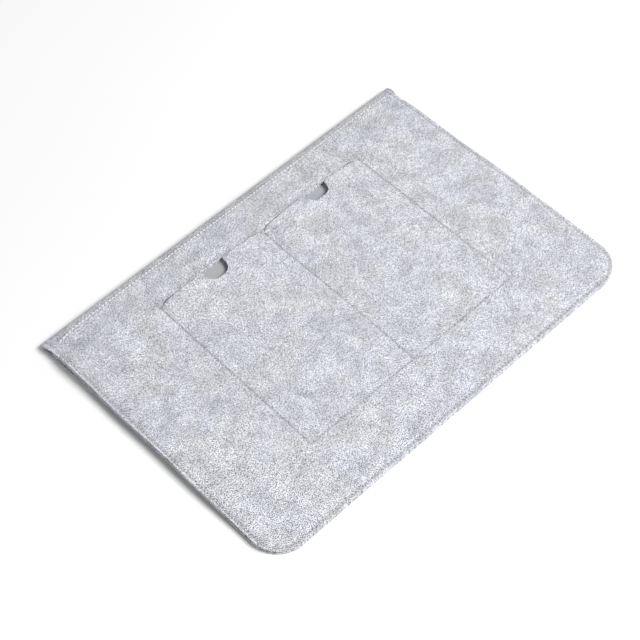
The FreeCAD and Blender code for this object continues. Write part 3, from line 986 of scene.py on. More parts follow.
class Effects:
    """The node groups that several finishes share, each built once."""

    _made: dict[str, bpy.types.NodeTree] = {}

    @classmethod
    def fibres(cls) -> bpy.types.NodeTree:
        """Pressed wool: clouds, specks and the lines of single fibres, from a place in millimetres.

        Returns:
            The group.
        """
        if "fibres" in cls._made:
            return cls._made["fibres"]
        labels = ("Cloud", "Patch", "Specks", "Dark", "Light", "Clumps", "Height")
        tree, given, out = new_group(
            "pressed_wool", {"Place": "NodeSocketVector"}, dict.fromkeys(labels, "NodeSocketFloat")
        )
        wire = Wiring(tree)
        place = given.outputs["Place"]
        cloud = wire.noise(place, 15.0, 4.0, 0.62, 0.4)
        patch = wire.noise(wire.vector("ADD", place, (91.0, 17.0, 5.0)), 42.0, 2.0, 0.5, 0.3)
        dust = wire.noise(place, 0.66, 0.6, 0.6)
        crumb = wire.noise(wire.vector("ADD", place, (7.0, 19.0, 2.0)), 1.15, 1.0, 0.6)
        grain = wire.math("ADD", wire.math("MULTIPLY", dust, 0.86), wire.math("MULTIPLY", crumb, 0.14))
        tuft = wire.noise(wire.vector("ADD", place, (11.0, 73.0, 4.0)), 2.4, 3.0, 0.7, 1.0)
        specks = wire.math("ADD", wire.math("MULTIPLY", grain, 0.77), wire.math("MULTIPLY", tuft, 0.23))
        clump = wire.noise(wire.vector("ADD", place, (29.0, 13.0, 6.0)), 3.4, 4.0, 0.75, 0.5)
        dark_line = wire.noise(wire.vector("ADD", place, (3.0, 41.0, 9.0)), 3.6, 3.0, 0.6, 2.2)
        light_line = wire.noise(wire.vector("ADD", place, (57.0, 8.0, 2.0)), 2.9, 3.0, 0.6, 2.4)
        dark = wire.span(wire.math("ABSOLUTE", wire.math("SUBTRACT", dark_line, 0.5)), 0.0, 0.045, 1.0, 0.0)
        light = wire.span(wire.math("ABSOLUTE", wire.math("SUBTRACT", light_line, 0.48)), 0.0, 0.04, 1.0, 0.0)
        lifted = wire.math("ADD", wire.math("MULTIPLY", specks, 0.9), wire.math("MULTIPLY", light, 0.35))
        height = wire.math("SUBTRACT", lifted, wire.math("MULTIPLY", dark, 0.2))
        clumps = wire.span(clump, 0.55, 0.70)
        for label, socket in zip(labels, (cloud, patch, specks, dark, light, clumps, height)):
            tree.links.new(socket, out.inputs[label])
        cls._made["fibres"] = tree
        return tree

    @classmethod
    def row(cls) -> bpy.types.NodeTree:
        """A straight row of stitches from Start to End: masks of its groove and the needle's holes, which set
        both their bump and their painted shade.

        Returns:
            The group.
        """
        if "row" in cls._made:
            return cls._made["row"]
        tree, given, out = new_group(
            "stitch_row",
            {
                "Place": "NodeSocketVector", "Start": "NodeSocketVector", "End": "NodeSocketVector",
                "Pitch": "NodeSocketFloat", "Width": "NodeSocketFloat",
            },
            {"Groove": "NodeSocketFloat", "Holes": "NodeSocketFloat"},
        )
        wire = Wiring(tree)
        level = wire.vector("MULTIPLY", given.outputs["Place"], (1.0, 1.0, 0.0))
        off = wire.vector("SUBTRACT", level, given.outputs["Start"])
        run = wire.vector("SUBTRACT", given.outputs["End"], given.outputs["Start"])
        long = wire.add("ShaderNodeVectorMath", operation="LENGTH")
        wire.feed(long.inputs[0], run)
        dot = wire.add("ShaderNodeVectorMath", operation="DOT_PRODUCT")
        wire.feed(dot.inputs[0], off)
        wire.feed(dot.inputs[1], wire.vector("NORMALIZE", run))
        along = wire.math("MINIMUM", wire.math("MAXIMUM", dot.outputs["Value"], 0.0), long.outputs["Value"])
        scaled = wire.add("ShaderNodeVectorMath", operation="SCALE")
        wire.feed(scaled.inputs[0], wire.vector("NORMALIZE", run))
        wire.feed(scaled.inputs["Scale"], along)
        apart = wire.add("ShaderNodeVectorMath", operation="DISTANCE")
        wire.feed(apart.inputs[0], off)
        wire.feed(apart.inputs[1], scaled.outputs[0])
        share = wire.math("DIVIDE", apart.outputs["Value"], given.outputs["Width"])
        groove = wire.span(share, 0.15, 1.0, 1.0, 0.0)
        beat = wire.math("PINGPONG", wire.math("DIVIDE", along, given.outputs["Pitch"]), 0.5)
        near = wire.math("MULTIPLY", beat, given.outputs["Pitch"])
        spot = wire.far(near, apart.outputs["Value"])
        holes = wire.span(spot, 0.35, 0.8, 1.0, 0.0)
        tree.links.new(groove, out.inputs["Groove"])
        tree.links.new(holes, out.inputs["Holes"])
        cls._made["row"] = tree
        return tree


def shader(
    name: str, roughness: float, sheen: float = 0.0, specular: float = 0.3
) -> tuple[bpy.types.Material, Wiring, bpy.types.Node]:
    """A material with an empty Principled surface.

    Args:
        name: the material's name.
        roughness: the surface's plain roughness.
        sheen: how much light the fuzz catches at a glancing angle.
        specular: the strength of the plain reflection.

    Returns:
        The material, its wiring and its Principled node.
    """
    material = bpy.data.materials.new(name)
    material.use_nodes = True
    wire = Wiring(material.node_tree)
    surface = material.node_tree.nodes["Principled BSDF"]
    surface.inputs["Roughness"].default_value = roughness
    surface.inputs["Sheen Weight"].default_value = sheen
    surface.inputs["Sheen Roughness"].default_value = 0.55
    surface.inputs["Specular IOR Level"].default_value = specular
    return material, wire, surface


@dataclass(frozen=True)
class Row:
    """One straight row of stitches on a felt, for the groove that it pulls and the painted shade in that
    groove and its needle holes.
    """

    start: tuple[float, float]
    end: tuple[float, float]
    pitch: float = 3.1
    width: float = 1.7
    strength: float = 1.0


@dataclass(frozen=True)
class FeltFinish:
    """Light grey pressed felt with dark and light fibres and faint lilac patches, and painted shade in its
    stitch grooves and needle holes.
    """

    name: str
    rows: tuple[Row, ...] = ()
    rim: tuple[float, float, float] | None = None  # half width, end and radius of a rounded seam
    base: float = 0.60
    dark: float = 0.05
    light: float = 0.84
    contrast: float = 0.97  # of the specks
    tint: Colour = (0.975, 0.995, 1.055, 1.0)

    def rim_groove(self, wire: Wiring, place: bpy.types.NodeSocket) -> bpy.types.NodeSocket:
        """The groove of the seam that runs down the sides and round the bottom corners, for its dent and its
        painted shade.

        Args:
            wire: the material's wiring.
            place: the place in millimetres.

        Returns:
            A mask's output, 1 in the groove and 0 off it.
        """
        half, end, radius = self.rim
        parts = wire.split(place)
        across = wire.math("SUBTRACT", wire.math("ABSOLUTE", parts[0]), half - radius)
        down = wire.math("SUBTRACT", radius - end, parts[1])
        far_x, far_y = wire.math("MAXIMUM", across, 0.0), wire.math("MAXIMUM", down, 0.0)
        outside = wire.far(far_x, far_y)
        inside = wire.math("MINIMUM", wire.math("MAXIMUM", across, down), 0.0)
        off = wire.math("ABSOLUTE", wire.math("SUBTRACT", wire.math("ADD", outside, inside), radius))
        return wire.span(off, 0.2, 1.4, 1.0, 0.0)

    def build(self) -> bpy.types.Material:
        """Builds the material from its nodes.

        Returns:
            The material.
        """
        material, wire, surface = shader(self.name, 0.95, sheen=0.18, specular=0.12)
        place = wire.place()
        wool = wire.use(Effects.fibres(), Place=place)
        tone = wire.mix(wire.span(wool.outputs["Specks"], 0.418, 0.522), grey(self.dark), grey(self.light))
        soft = wire.mix(self.contrast, grey(self.base), tone)
        clouded = wire.mix(wire.span(wool.outputs["Cloud"], 0.34, 0.66), grey(0.83, 0.0, 0.004), grey(1.09))
        colour = wire.mix(1.0, soft, clouded, "MULTIPLY")
        lilac = grey(0.975, -0.014, 0.018)
        tinted = wire.mix(wire.span(wool.outputs["Patch"], 0.40, 0.62), grey(1.0, 0.004), lilac)
        colour = wire.mix(1.0, colour, tinted, "MULTIPLY")
        colour = wire.mix(1.0, colour, self.tint, "MULTIPLY")
        colour = wire.mix(wire.math("MULTIPLY", wool.outputs["Dark"], 0.36), colour, grey(self.dark, -0.03))
        colour = wire.mix(wire.math("MULTIPLY", wool.outputs["Clumps"], 0.36), colour, grey(self.dark, -0.02))
        colour = wire.mix(wire.math("MULTIPLY", wool.outputs["Light"], 0.30), colour, grey(self.light))
        height = wool.outputs["Height"]
        grooves: list[bpy.types.NodeSocket] = []
        for row in self.rows:
            made = wire.use(
                Effects.row(), Place=place, Start=(*row.start, 0.0), End=(*row.end, 0.0),
                Pitch=row.pitch, Width=row.width,
            )
            groove = wire.math("MULTIPLY", made.outputs["Groove"], 0.45 * row.strength)
            holes = wire.math("MULTIPLY", made.outputs["Holes"], 0.55 * row.strength)
            grooves.append(wire.math("ADD", groove, holes))
        if self.rim:
            grooves.append(wire.math("MULTIPLY", self.rim_groove(wire, place), 0.6))
        if grooves:
            groove_depth_and_shade = grooves[0]
            for groove in grooves[1:]:
                groove_depth_and_shade = wire.math("MAXIMUM", groove_depth_and_shade, groove)
            # painted shade: the felt is darkened in each stitch groove and needle hole, where shade falls;
            # the same mask also sinks the bump
            colour = wire.mix(wire.math("MULTIPLY", groove_depth_and_shade, 0.42), colour, grey(self.dark * 0.8))
            height = wire.math("SUBTRACT", height, wire.math("MULTIPLY", groove_depth_and_shade, 1.6))
        wire.feed(surface.inputs["Base Color"], colour)
        wire.relief(surface, height, 0.55, 0.3)
        return material


@dataclass(frozen=True)
class WovenFinish:
    """A thin woven cloth: two sets of yarns that cross, with a little slub."""

    name: str
    base: Colour
    yarn: float = 0.55  # between two yarns

    def build(self) -> bpy.types.Material:
        """Builds the material from its nodes.

        Returns:
            The material.
        """
        material, wire, surface = shader(self.name, 0.72, sheen=0.1, specular=0.3)
        place = wire.place()
        turns = math.pi / self.yarn
        warp, weft = (
            wire.math("ABSOLUTE", wire.math("SINE", wire.math("MULTIPLY", part, turns)))
            for part in wire.split(place)[:2]
        )
        weave = wire.math("MAXIMUM", warp, weft)
        slub = wire.noise(wire.vector("MULTIPLY", place, (1.0, 0.08, 1.0)), 0.9, 2.0, 0.5)
        uneven = wire.noise(place, 24.0, 3.0, 0.5)
        dim = dimmed(self.base, 0.72)
        colour = wire.mix(wire.span(weave, 0.45, 1.0), dim, self.base)
        colour = wire.mix(wire.span(slub, 0.35, 0.7, 0.0, 0.35), colour, dim)
        colour = wire.mix(wire.span(uneven, 0.3, 0.7, 0.0, 0.25), colour, dimmed(self.base, 0.86))
        wire.feed(surface.inputs["Base Color"], colour)
        wire.feed(surface.inputs["Roughness"], wire.span(weave, 0.0, 1.0, 0.85, 0.62))
        wire.relief(surface, weave, 0.5, 0.12)
        return material


@dataclass(frozen=True)
class ThreadFinish:
    """Twisted sewing thread."""

    name: str
    base: Colour

    def build(self) -> bpy.types.Material:
        """Builds the material from its nodes.

        Returns:
            The material.
        """
        material, wire, surface = shader(self.name, 0.6, sheen=0.1, specular=0.35)
        spot = wire.add("ShaderNodeTexCoord").outputs["Object"]
        wave = wire.add("ShaderNodeTexWave", wave_type="BANDS", bands_direction="DIAGONAL")
        wire.feed(wave.inputs["Vector"], spot)
        wave.inputs["Scale"].default_value = 900.0
        fuzz = wire.noise(spot, 0.3 * MM, 2.0)
        dim = dimmed(self.base, 0.62)
        colour = wire.mix(wire.span(wave.outputs["Fac"], 0.0, 0.7), dim, self.base)
        colour = wire.mix(wire.span(fuzz, 0.35, 0.7, 0.0, 0.4), colour, dim)
        wire.feed(surface.inputs["Base Color"], colour)
        wire.relief(surface, wave.outputs["Fac"], 0.4, 0.06)
        return material


@dataclass(frozen=True)
class LoopFinish:
    """The brushed pile of loop tape, or the tight ground of hook tape."""

    name: str
    base: Colour
    pile: float = 0.5  # size of one tuft
    depth: float = 0.35

    def build(self) -> bpy.types.Material:
        """Builds the material from its nodes.

        Returns:
            The material.
        """
        material, wire, surface = shader(self.name, 0.8, sheen=0.25, specular=0.2)
        place = wire.place()
        tufts = wire.noise(place, self.pile, 3.0, 0.7, 1.6)
        rows = wire.noise(wire.vector("MULTIPLY", place, (0.25, 1.0, 1.0)), self.pile * 1.6, 2.0)
        dim = dimmed(self.base, 0.5)
        colour = wire.mix(wire.span(tufts, 0.3, 0.7), dim, self.base)
        colour = wire.mix(wire.span(rows, 0.35, 0.65, 0.0, 0.3), colour, dim)
        wire.feed(surface.inputs["Base Color"], colour)
        wire.relief(surface, tufts, 0.8, self.depth)
        return material


@dataclass(frozen=True)
class FloorFinish:
    """A plain pale floor."""

    level: float = 0.84

    def build(self) -> bpy.types.Material:
        """Builds the material from its nodes.

        Returns:
            The material.
        """
        material, wire, surface = shader("pale_floor", 0.9, specular=0.05)
        spot = wire.add("ShaderNodeTexCoord").outputs["Object"]
        tone = wire.span(wire.noise(spot, 0.4, 2.0), 0.3, 0.7)
        wire.feed(surface.inputs["Base Color"], wire.mix(tone, grey(self.level), grey(self.level * 1.01)))
        return material


# ------------------------------------------------------------------ the sewn body


def dress(
    piece: bpy.types.Object, material: bpy.types.Material, nodes: list[str]
) -> bpy.types.Object:
    """Gives a piece its finish and hides the fixed pieces that it stands for.

    Args:
        piece: the piece to dress.
        material: its finish.
        nodes: the fixed pieces it stands for.

    Returns:
        The same piece.
    """
    piece.data.materials.clear()
    piece.data.materials.append(material)
    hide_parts(*nodes)
    return piece


def area_of(outline: np.ndarray) -> float:
    """The area inside a closed outline."""
    x, y = outline[:, 0], outline[:, 1]
    return abs(float(x @ np.roll(y, -1) - y @ np.roll(x, -1))) / 2


@dataclass
class SewnBody:
    """Front felt, back felt, their linings, the pockets and the loop tapes."""

    lie: Lie
    front_edge: float = 112.0
    band_edge: float = 112.5  # where the rim's stitches end
    crease_reach: float = 163.0
    hem_y: float = 108.0
    top_seam_y: float = 86.7
    backing_margin: float = 4.0
    notch_depths: tuple[float, float] = (11.2, 9.2)
    notch_shifts: tuple[float, float] = (0.7, 3.8)
    notch_half: float = 9.6
    slit: float = 2.2
    loop_size: tuple[float, float] = (88.0, 24.0)
    tape: float = 0.6
    pieces: dict[str, bpy.types.Object] = field(default_factory=dict)

    def rim_line(self, inset: float, step: float = 1.0) -> np.ndarray:
        """The open line down the left side, round the bottom and up the right side.

        Args:
            inset: how far inside the felt's edge.
            step: the spacing of the points.

        Returns:
            The line's points.
        """
        half, low = self.lie.half_width - inset, inset - self.lie.end
        radius = self.lie.corner - inset
        outline = bag_outline(half, low, self.band_edge, radius, step)
        start = int(np.argmin(np.abs(outline - (-half, self.band_edge)).sum(1)))
        line = np.roll(outline, -start, axis=0)
        stop = int(np.argmin(np.abs(line - (half, self.band_edge)).sum(1)))
        return line[: stop + 1]

    def back_outline(self) -> np.ndarray:
        """The back felt's cut, up to the crest of the fold, where it flares a little.

        Returns:
            The outline's points.
        """
        lie = self.lie
        half = lie.half_width
        outline = bag_outline(half, -lie.end, lie.crease, lie.corner, 1.7)
        sign = np.sign(outline[:, 0])
        flare = np.where(sign > 0, lie.flare[Side.RIGHT], lie.flare[Side.LEFT])
        at_side = np.abs(outline[:, 0]) > half - 0.01
        grow = smooth((outline[:, 1] - 110.0) / 9.0) * flare * np.where(at_side, 1.0, 0.0)
        scallop = 0.25 * np.sin(outline[:, 1] / 13.0 + sign) * at_side
        outline[:, 0] += sign * (grow + scallop * smooth((100.0 - outline[:, 1]) / 20.0))
        return outline

    def mouth(self, which: int) -> np.ndarray:
        """The closed outline of one pocket's mouth, with its thumb notch.

        Args:
            which: 0 for the card pocket on the left, 1 for the phone pocket on the right.

        Returns:
            The outline's points, counter-clockwise.
        """
        lie = self.lie
        left = lie.divider_x - lie.pocket_width * (1 - which) + 0.5
        right = left + lie.pocket_width - 1.0
        middle = (left + right) / 2 + self.notch_shifts[which]
        depth, half = self.notch_depths[which], self.notch_half
        ends = lie.lip_round
        soft = 1.6
        x = np.concatenate(
            (
                left + ends * (1.0 - np.cos(np.linspace(0.0, math.pi / 2, 9))),
                np.linspace(left + ends, middle - half - soft, 22)[1:],
                middle - half - soft * (1.0 - np.sin(np.linspace(0.0, math.pi / 2, 5)[1:])),
            )
        )
        before = np.column_stack((x, lie.lip(x)))
        before[-4:, 1] -= soft * (1.0 - np.cos(np.linspace(0.0, math.pi / 2, 5)[1:]))
        turn = np.linspace(math.pi, 2 * math.pi, 31)
        power = 2.0 / 2.7
        bowl_x = middle + half * np.sign(np.cos(turn)) * np.abs(np.cos(turn)) ** power
        bowl_y = lie.mouth_y - soft - (depth - soft) * np.abs(np.sin(turn)) ** power
        bowl = np.column_stack((bowl_x, bowl_y))
        x = np.concatenate(
            (
                middle + half + soft * (1.0 - np.cos(np.linspace(0.0, math.pi / 2, 5))),
                np.linspace(middle + half + soft, right - ends, 22)[1:],
                right - ends * (1.0 - np.sin(np.linspace(0.0, math.pi / 2, 9)[1:])),
            )
        )
        after = np.column_stack((x, lie.lip(x)))
        after[:5, 1] -= soft * (1.0 - np.sin(np.linspace(0.0, math.pi / 2, 5)))
        lower = np.concatenate((before, bowl[1:-1], after))
        x = np.linspace(right, left, 70)
        narrow = np.clip(np.minimum(x - left, right - x) / 5.0, 0.25, 1.0)
        upper = np.column_stack((x, lie.lip(x) + self.slit * narrow))
        return filled(np.concatenate((lower, upper)), 1.2)

    def build_felts(self) -> None:
        """The back felt with its mouths, and the front felt."""
        lie = self.lie
        self.pieces["back"] = Cloth(
            "back_felt", self.back_outline(), lie.felt, lie.back,
            openings=[self.mouth(0), self.mouth(1)],
            fine=[
                (lie.pocket_left - 3.0, lie.pocket_right + 3.0, 68.0, 89.0),
                (-180.0, 180.0, 111.0, 130.0),
                *self.rim_zones(),
            ],
        ).lay()
        self.pieces["front"] = Cloth(
            "front_felt", self.front_outline(0.0), lie.felt, lie.front, spacing=3.2,
            fine=self.rim_zones(),
        ).lay()

    def rim_zones(self) -> list[tuple[float, float, float, float]]:
        """The strips along the sewn rim, where the felts need a finer mesh.

        Returns:
            Each strip as its lowest and highest X, then its lowest and highest Y.
        """
        half, end, strip, bend = self.lie.half_width + 4.0, self.lie.end + 2.0, 12.0, 26.0
        return [
            (-half, strip - half, -end, end),
            (half - strip, half, -end, end),
            (-half, half, -end, strip - end),
            (-half, bend - half, -end, bend - end),
            (half - bend, half, -end, bend - end),
        ]

    def front_outline(self, inset: float) -> np.ndarray:
        """The front felt's cut, or its lining's.

        Args:
            inset: how far inside the felt's edge.

        Returns:
            The outline's points.
        """
        lie = self.lie
        half, low = lie.half_width - inset, inset - lie.end
        return bag_outline(half, low, self.front_edge, lie.corner - inset, 2.0)

    def build_linings(self) -> None:
        """The two linings and the backing behind the pockets."""
        lie = self.lie
        inset = lie.lining_inset
        half, low = lie.half_width - inset, inset - lie.end
        outline = bag_outline(half, low, lie.lining_end, lie.corner - inset, 2.2)
        self.pieces["back_lining"] = Cloth(
            "back_lining_cloth", outline, 0.25, lie.under_back, spacing=4.0,
            start=lie.felt + 0.36, edge=0.0,
        ).lay()
        self.pieces["front_lining"] = Cloth(
            "front_lining_cloth", self.front_outline(inset), 0.25, lie.front, spacing=4.0,
            start=lie.felt + 0.04, edge=0.0,
        ).lay()
        margin = self.backing_margin
        left, right = lie.pocket_left - margin, lie.pocket_right + margin
        low, high = lie.pocket_end - margin, self.top_seam_y + margin
        backing = rounded(
            [(left, high), (left, low), (right, low), (right, high)], [2.0] * 4, 2.2
        )
        self.pieces["backing"] = Cloth(
            "pocket_backing_cloth", backing, 0.25, lie.under_back, spacing=4.0,
            start=lie.felt + 0.05, edge=0.0,
        ).lay()

    def build_seams(self) -> None:
        """Every row of stitches that the body shows."""
        lie = self.lie
        fine = Stitch(pitch=2.9, length=2.1, width=0.5, height=0.36, proud=-0.16)
        rim = self.rim_line(lie.seam_inset)
        seam = Seam("rim_stitches", Stitch(pitch=3.0, length=2.2, width=0.75, height=0.55, proud=0.24))
        seam.add(rim, lie.back, 0.0, 1.0)
        below = rim[rim[:, 1] < self.front_edge - 1.0]
        self.pieces["rim_seam"] = seam.add(below, lie.front, 0.0, -1.0).sew()
        left, right = lie.pocket_left, lie.pocket_right
        low, high, side_top = lie.pocket_end, self.top_seam_y, lie.mouth_y - lie.lip_drop - 0.5
        seam = Seam("pocket_outline_stitches", fine)
        sides = [(left, side_top), (left, low), (right, low), (right, side_top)]
        seam.add(np.array(sides), lie.under_back, 0.0, 1.0)
        seam.add(np.array([(left, side_top), (left, high)]), lie.under_back, 0.0, 1.0)
        seam.add(np.array([(right, side_top), (right, high)]), lie.under_back, 0.0, 1.0)
        top = np.array([(left, high), (right, high)])
        bold = Stitch(pitch=2.9, length=2.3, width=0.8, height=0.6, proud=0.14)
        self.pieces["pocket_seam"] = seam.add(top, lie.under_back, 0.0, 1.0, bold).sew()
        middle = np.array([(lie.divider_x, side_top), (lie.divider_x, low)])
        self.pieces["divider_seam"] = Seam("pocket_divider_stitches", fine).add(
            middle, lie.under_back, 0.0, 1.0
        ).sew()
        reach = self.crease_reach
        crease = np.array(
            [(-reach, lie.crease_y - 1.5), (-reach + 14.0, lie.crease_y), (reach, lie.crease_y)]
        )
        seam = Seam("fold_crease_stitches", Stitch(length=2.6, width=1.15, height=0.9, proud=0.42))
        self.pieces["crease_seam"] = seam.add(crease, lie.back, 0.0, 1.0).sew()
        half = lie.half_width - lie.seam_inset
        hem = np.array([(-half, self.hem_y), (half, self.hem_y)])
        self.pieces["hem_seam"] = Seam("mouth_hem_stitches").add(hem, lie.front, 0.0, -1.0).sew()

    def build_tapes(self) -> None:
        """The two loop tapes under the front felt, and the stitches that hold them."""
        lie = self.lie
        for side in Side:
            label = side.name.lower()
            outline, inner = tape_lines(side, lie.tape_middle, self.loop_size)

            def under(x: np.ndarray, y: np.ndarray, depth: float) -> np.ndarray:
                """Places on the tape, depth below the front felt's outer face."""
                return lie.front(x, y, -depth)

            tape = Cloth(
                f"loop_tape_{label}_strip", outline, self.tape, under, spacing=3.0, edge=0.12
            ).lay()
            seam = Seam(f"loop_tape_{label}_stitches", TAPE_STITCH)
            self.pieces[f"loop_{label}"] = tape
            self.pieces[f"loop_{label}_seam"] = seam.add(inner, under, self.tape, -1.0).sew()

    def finish(self, felts: dict[str, bpy.types.Material], cloths: dict[str, bpy.types.Material]) -> None:
        """Args:
            felts: the felt materials by piece.
            cloths: the other materials by use.
        """
        lie, made = self.lie, self.pieces
        dress(made["back"], felts["back"], ["back_panel", "fold_strip"])
        dress(made["front"], felts["front"], ["front_panel"])
        dress(made["back_lining"], cloths["lining"], ["back_lining"])
        dress(made["front_lining"], cloths["lining"], ["front_lining"])
        dress(made["backing"], cloths["backing"], ["pocket_backing"])
        dress(made["rim_seam"], cloths["thread"], ["rim_seam_thread"])
        dress(made["pocket_seam"], cloths["thread"], ["pocket_outline_thread"])
        dress(made["divider_seam"], cloths["thread"], ["pocket_divider_thread"])
        dress(made["crease_seam"], cloths["crease_thread"], ["fold_crease_thread"])
        dress(made["hem_seam"], cloths["thread"], ["mouth_hem_thread"])
        for side in Side:
            label = side.name.lower()
            tape, seam = made[f"loop_{label}"], made[f"loop_{label}_seam"]
            dress(tape, cloths["loop"], [f"loop_tape_{label}"])
            dress(seam, cloths["thread"], [f"loop_thread_{label}"])
        for name, piece in made.items():
            if name != "back":
                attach(piece, "sleeve")
        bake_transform(made["back"])
        depth = (lie.crease + lie.end) * MM
        openings = area_of(self.mouth(0)) + area_of(self.mouth(1))
        cut = (area_of(self.back_outline()) - openings) * MM**2


def tape_lines(
    side: Side, middle: tuple[float, float], size: tuple[float, float]
) -> tuple[np.ndarray, np.ndarray]:
    """A tape's outline and the line of the stitches inside it.

    Args:
        side: which of the pair.
        middle: the right tape's middle.
        size: the tape's length and height.

    Returns:
        The closed outline, and the stitches' line, closed by its first point.
    """
    x, y = side.value * middle[0], middle[1]
    lines = []
    for inset, radius in ((0.0, 1.5), (1.8, 0.8)):
        across, up = size[0] / 2 - inset, size[1] / 2 - inset
        corners = [(x - across, y + up), (x - across, y - up), (x + across, y - up), (x + across, y + up)]
        lines.append(rounded(corners, [radius] * 4, 1.5))
    return lines[0], np.concatenate((lines[1], lines[1][:1]))


# ------------------------------------------------------------------ the fold and the flap


@dataclass
class FlapAndFold:
    """The flap's felt up to the crest of the fold, its lining and the hook tapes."""

    lie: Lie
    fold_half: float = 172.5
    end_half: float = 159.0
    free_edge: float = -18.1
    straight_end: float = 84.0  # where the sides begin to draw in
    corner: float = 32.0
    hinge_y: float = 121.9
    lining: float = 0.25
    fold_lining_reach: float = 5.2  # to each side of the crest
    hook_size: tuple[float, float] = (76.0, 16.0)
    tape: float = 0.5
    hook_pitch: float = 1.7
    pieces: dict[str, bpy.types.Object] = field(default_factory=dict)

    def outline(self, inset: float, top: float, step: float = 1.9) -> np.ndarray:
        """The flap's cut: full width at the fold, narrower at its rounded free edge.

        Args:
            inset: how far inside the felt's edge.
            top: Y at the cut's end by the fold.
            step: the spacing of the points.

        Returns:
            The outline's points.
        """
        low = self.free_edge + inset
        waist = low + self.corner - inset
        slope = (self.fold_half - self.end_half) / (self.hinge_y - (self.free_edge + self.corner))
        reach = self.end_half - inset - slope * (waist - low) * 0.35
        at_fold = self.fold_half - inset
        left, right = self.lie.flare[Side.LEFT] - 1.5, self.lie.flare[Side.RIGHT] - 1.5
        waist_x = self.fold_half - 1.6 - inset
        corners = [
            (-at_fold - left, top), (-waist_x, 112.0), (-waist_x, self.straight_end), (-reach, low),
            (reach, low), (waist_x, self.straight_end), (waist_x, 112.0), (at_fold + right, top),
        ]
        radius = self.corner - inset
        return rounded(corners, [0.0, 8.0, 150.0, radius, radius, 150.0, 8.0, 0.0], step)

    def build(self) -> None:
        """The felt, the two linings, the edge seam and the hook tapes."""
        lie = self.lie
        crest = lie.crease

        def turned(flat: np.ndarray) -> np.ndarray:
            """Carries the felt's pattern on past the crest of the fold."""
            return np.column_stack((flat[:, 0], 2 * crest - flat[:, 1]))

        self.pieces["felt"] = Cloth(
            "flap_felt", self.outline(0.0, crest), lie.felt, lie.flap, spacing=3.0,
            fine=[(-180.0, 180.0, 112.0, 130.0)], pattern=turned,
        ).lay()
        self.pieces["lining"] = Cloth(
            "flap_lining_cloth", self.outline(lie.lining_inset, lie.lining_end), self.lining,
            lie.flap, spacing=4.0, start=lie.felt + 0.03, edge=0.0,
        ).lay()
        half = self.fold_half - lie.lining_inset
        low, high = crest - self.fold_lining_reach, crest + self.fold_lining_reach

        def round_fold(x: np.ndarray, along: np.ndarray, depth: float) -> np.ndarray:
            """Places inside the fold, from the flap's side of it to the back's.

            Args:
                x: places across the sleeve.
                along: places along the lining, up to the crest on the flap's side.
                depth: how far under the outer face.

            Returns:
                One row of X, Y and Z for each place.
            """
            below = lie.flap(x, np.minimum(along, crest), depth)
            above = lie.back(x, np.minimum(2 * crest - along, crest), depth)
            return np.where((along > crest)[:, None], above, below)

        band = rounded([(-half, high), (-half, low), (half, low), (half, high)], [0.5] * 4, 1.5)
        self.pieces["fold_lining"] = Cloth(
            "fold_lining_cloth", band, self.lining, round_fold, spacing=1.8, fine_spacing=1.2,
            start=lie.felt + 0.03, edge=0.0,
        ).lay()
        edge = self.outline(lie.seam_inset, 116.0, 1.0)
        first = int(np.argmin(np.abs(edge - (edge[:, 0].min(), 116.0)).sum(1)))
        edge = np.roll(edge, -first, axis=0)
        stop = int(np.argmax(edge[:, 0] + edge[:, 1]))
        edge = edge[: stop + 1]
        stitch = Stitch(pitch=3.0, length=2.3, width=0.6, height=0.42, proud=0.0)
        seam = Seam("flap_edge_stitches", stitch)
        seam.add(edge, lie.flap, lie.felt + self.lining + 0.03, 1.0)
        self.pieces["edge_seam"] = seam.add(
            edge, lie.flap, 0.0, -1.0, replace(stitch, proud=-0.26)
        ).sew()
        for side in Side:
            self.build_hook_tape(side)

    def build_hook_tape(self, side: Side) -> None:
        """One hook tape with its rows of hooks, and the stitches that hold it.

        Args:
            side: which of the two tapes.
        """
        lie = self.lie
        label = side.name.lower()
        outline, inner = tape_lines(side, lie.tape_middle, self.hook_size)
        base = lie.felt + self.lining + 0.03
        tape = Cloth(
            f"hook_tape_{label}_strip", outline, self.tape, lie.flap, spacing=3.0, edge=0.1, start=base
        ).lay()
        hooks = self.hooks(side, base + self.tape)
        only(tape)
        hooks.select_set(True)
        bpy.ops.object.join()
        seam = Seam(f"hook_tape_{label}_stitches", TAPE_STITCH)
        seam.add(inner, lie.flap, base + self.tape, 1.0)
        self.pieces[f"hook_{label}"] = tape
        sunk = replace(TAPE_STITCH, proud=-0.18)
        self.pieces[f"hook_{label}_seam"] = seam.add(inner, lie.flap, 0.0, -1.0, sunk).sew()

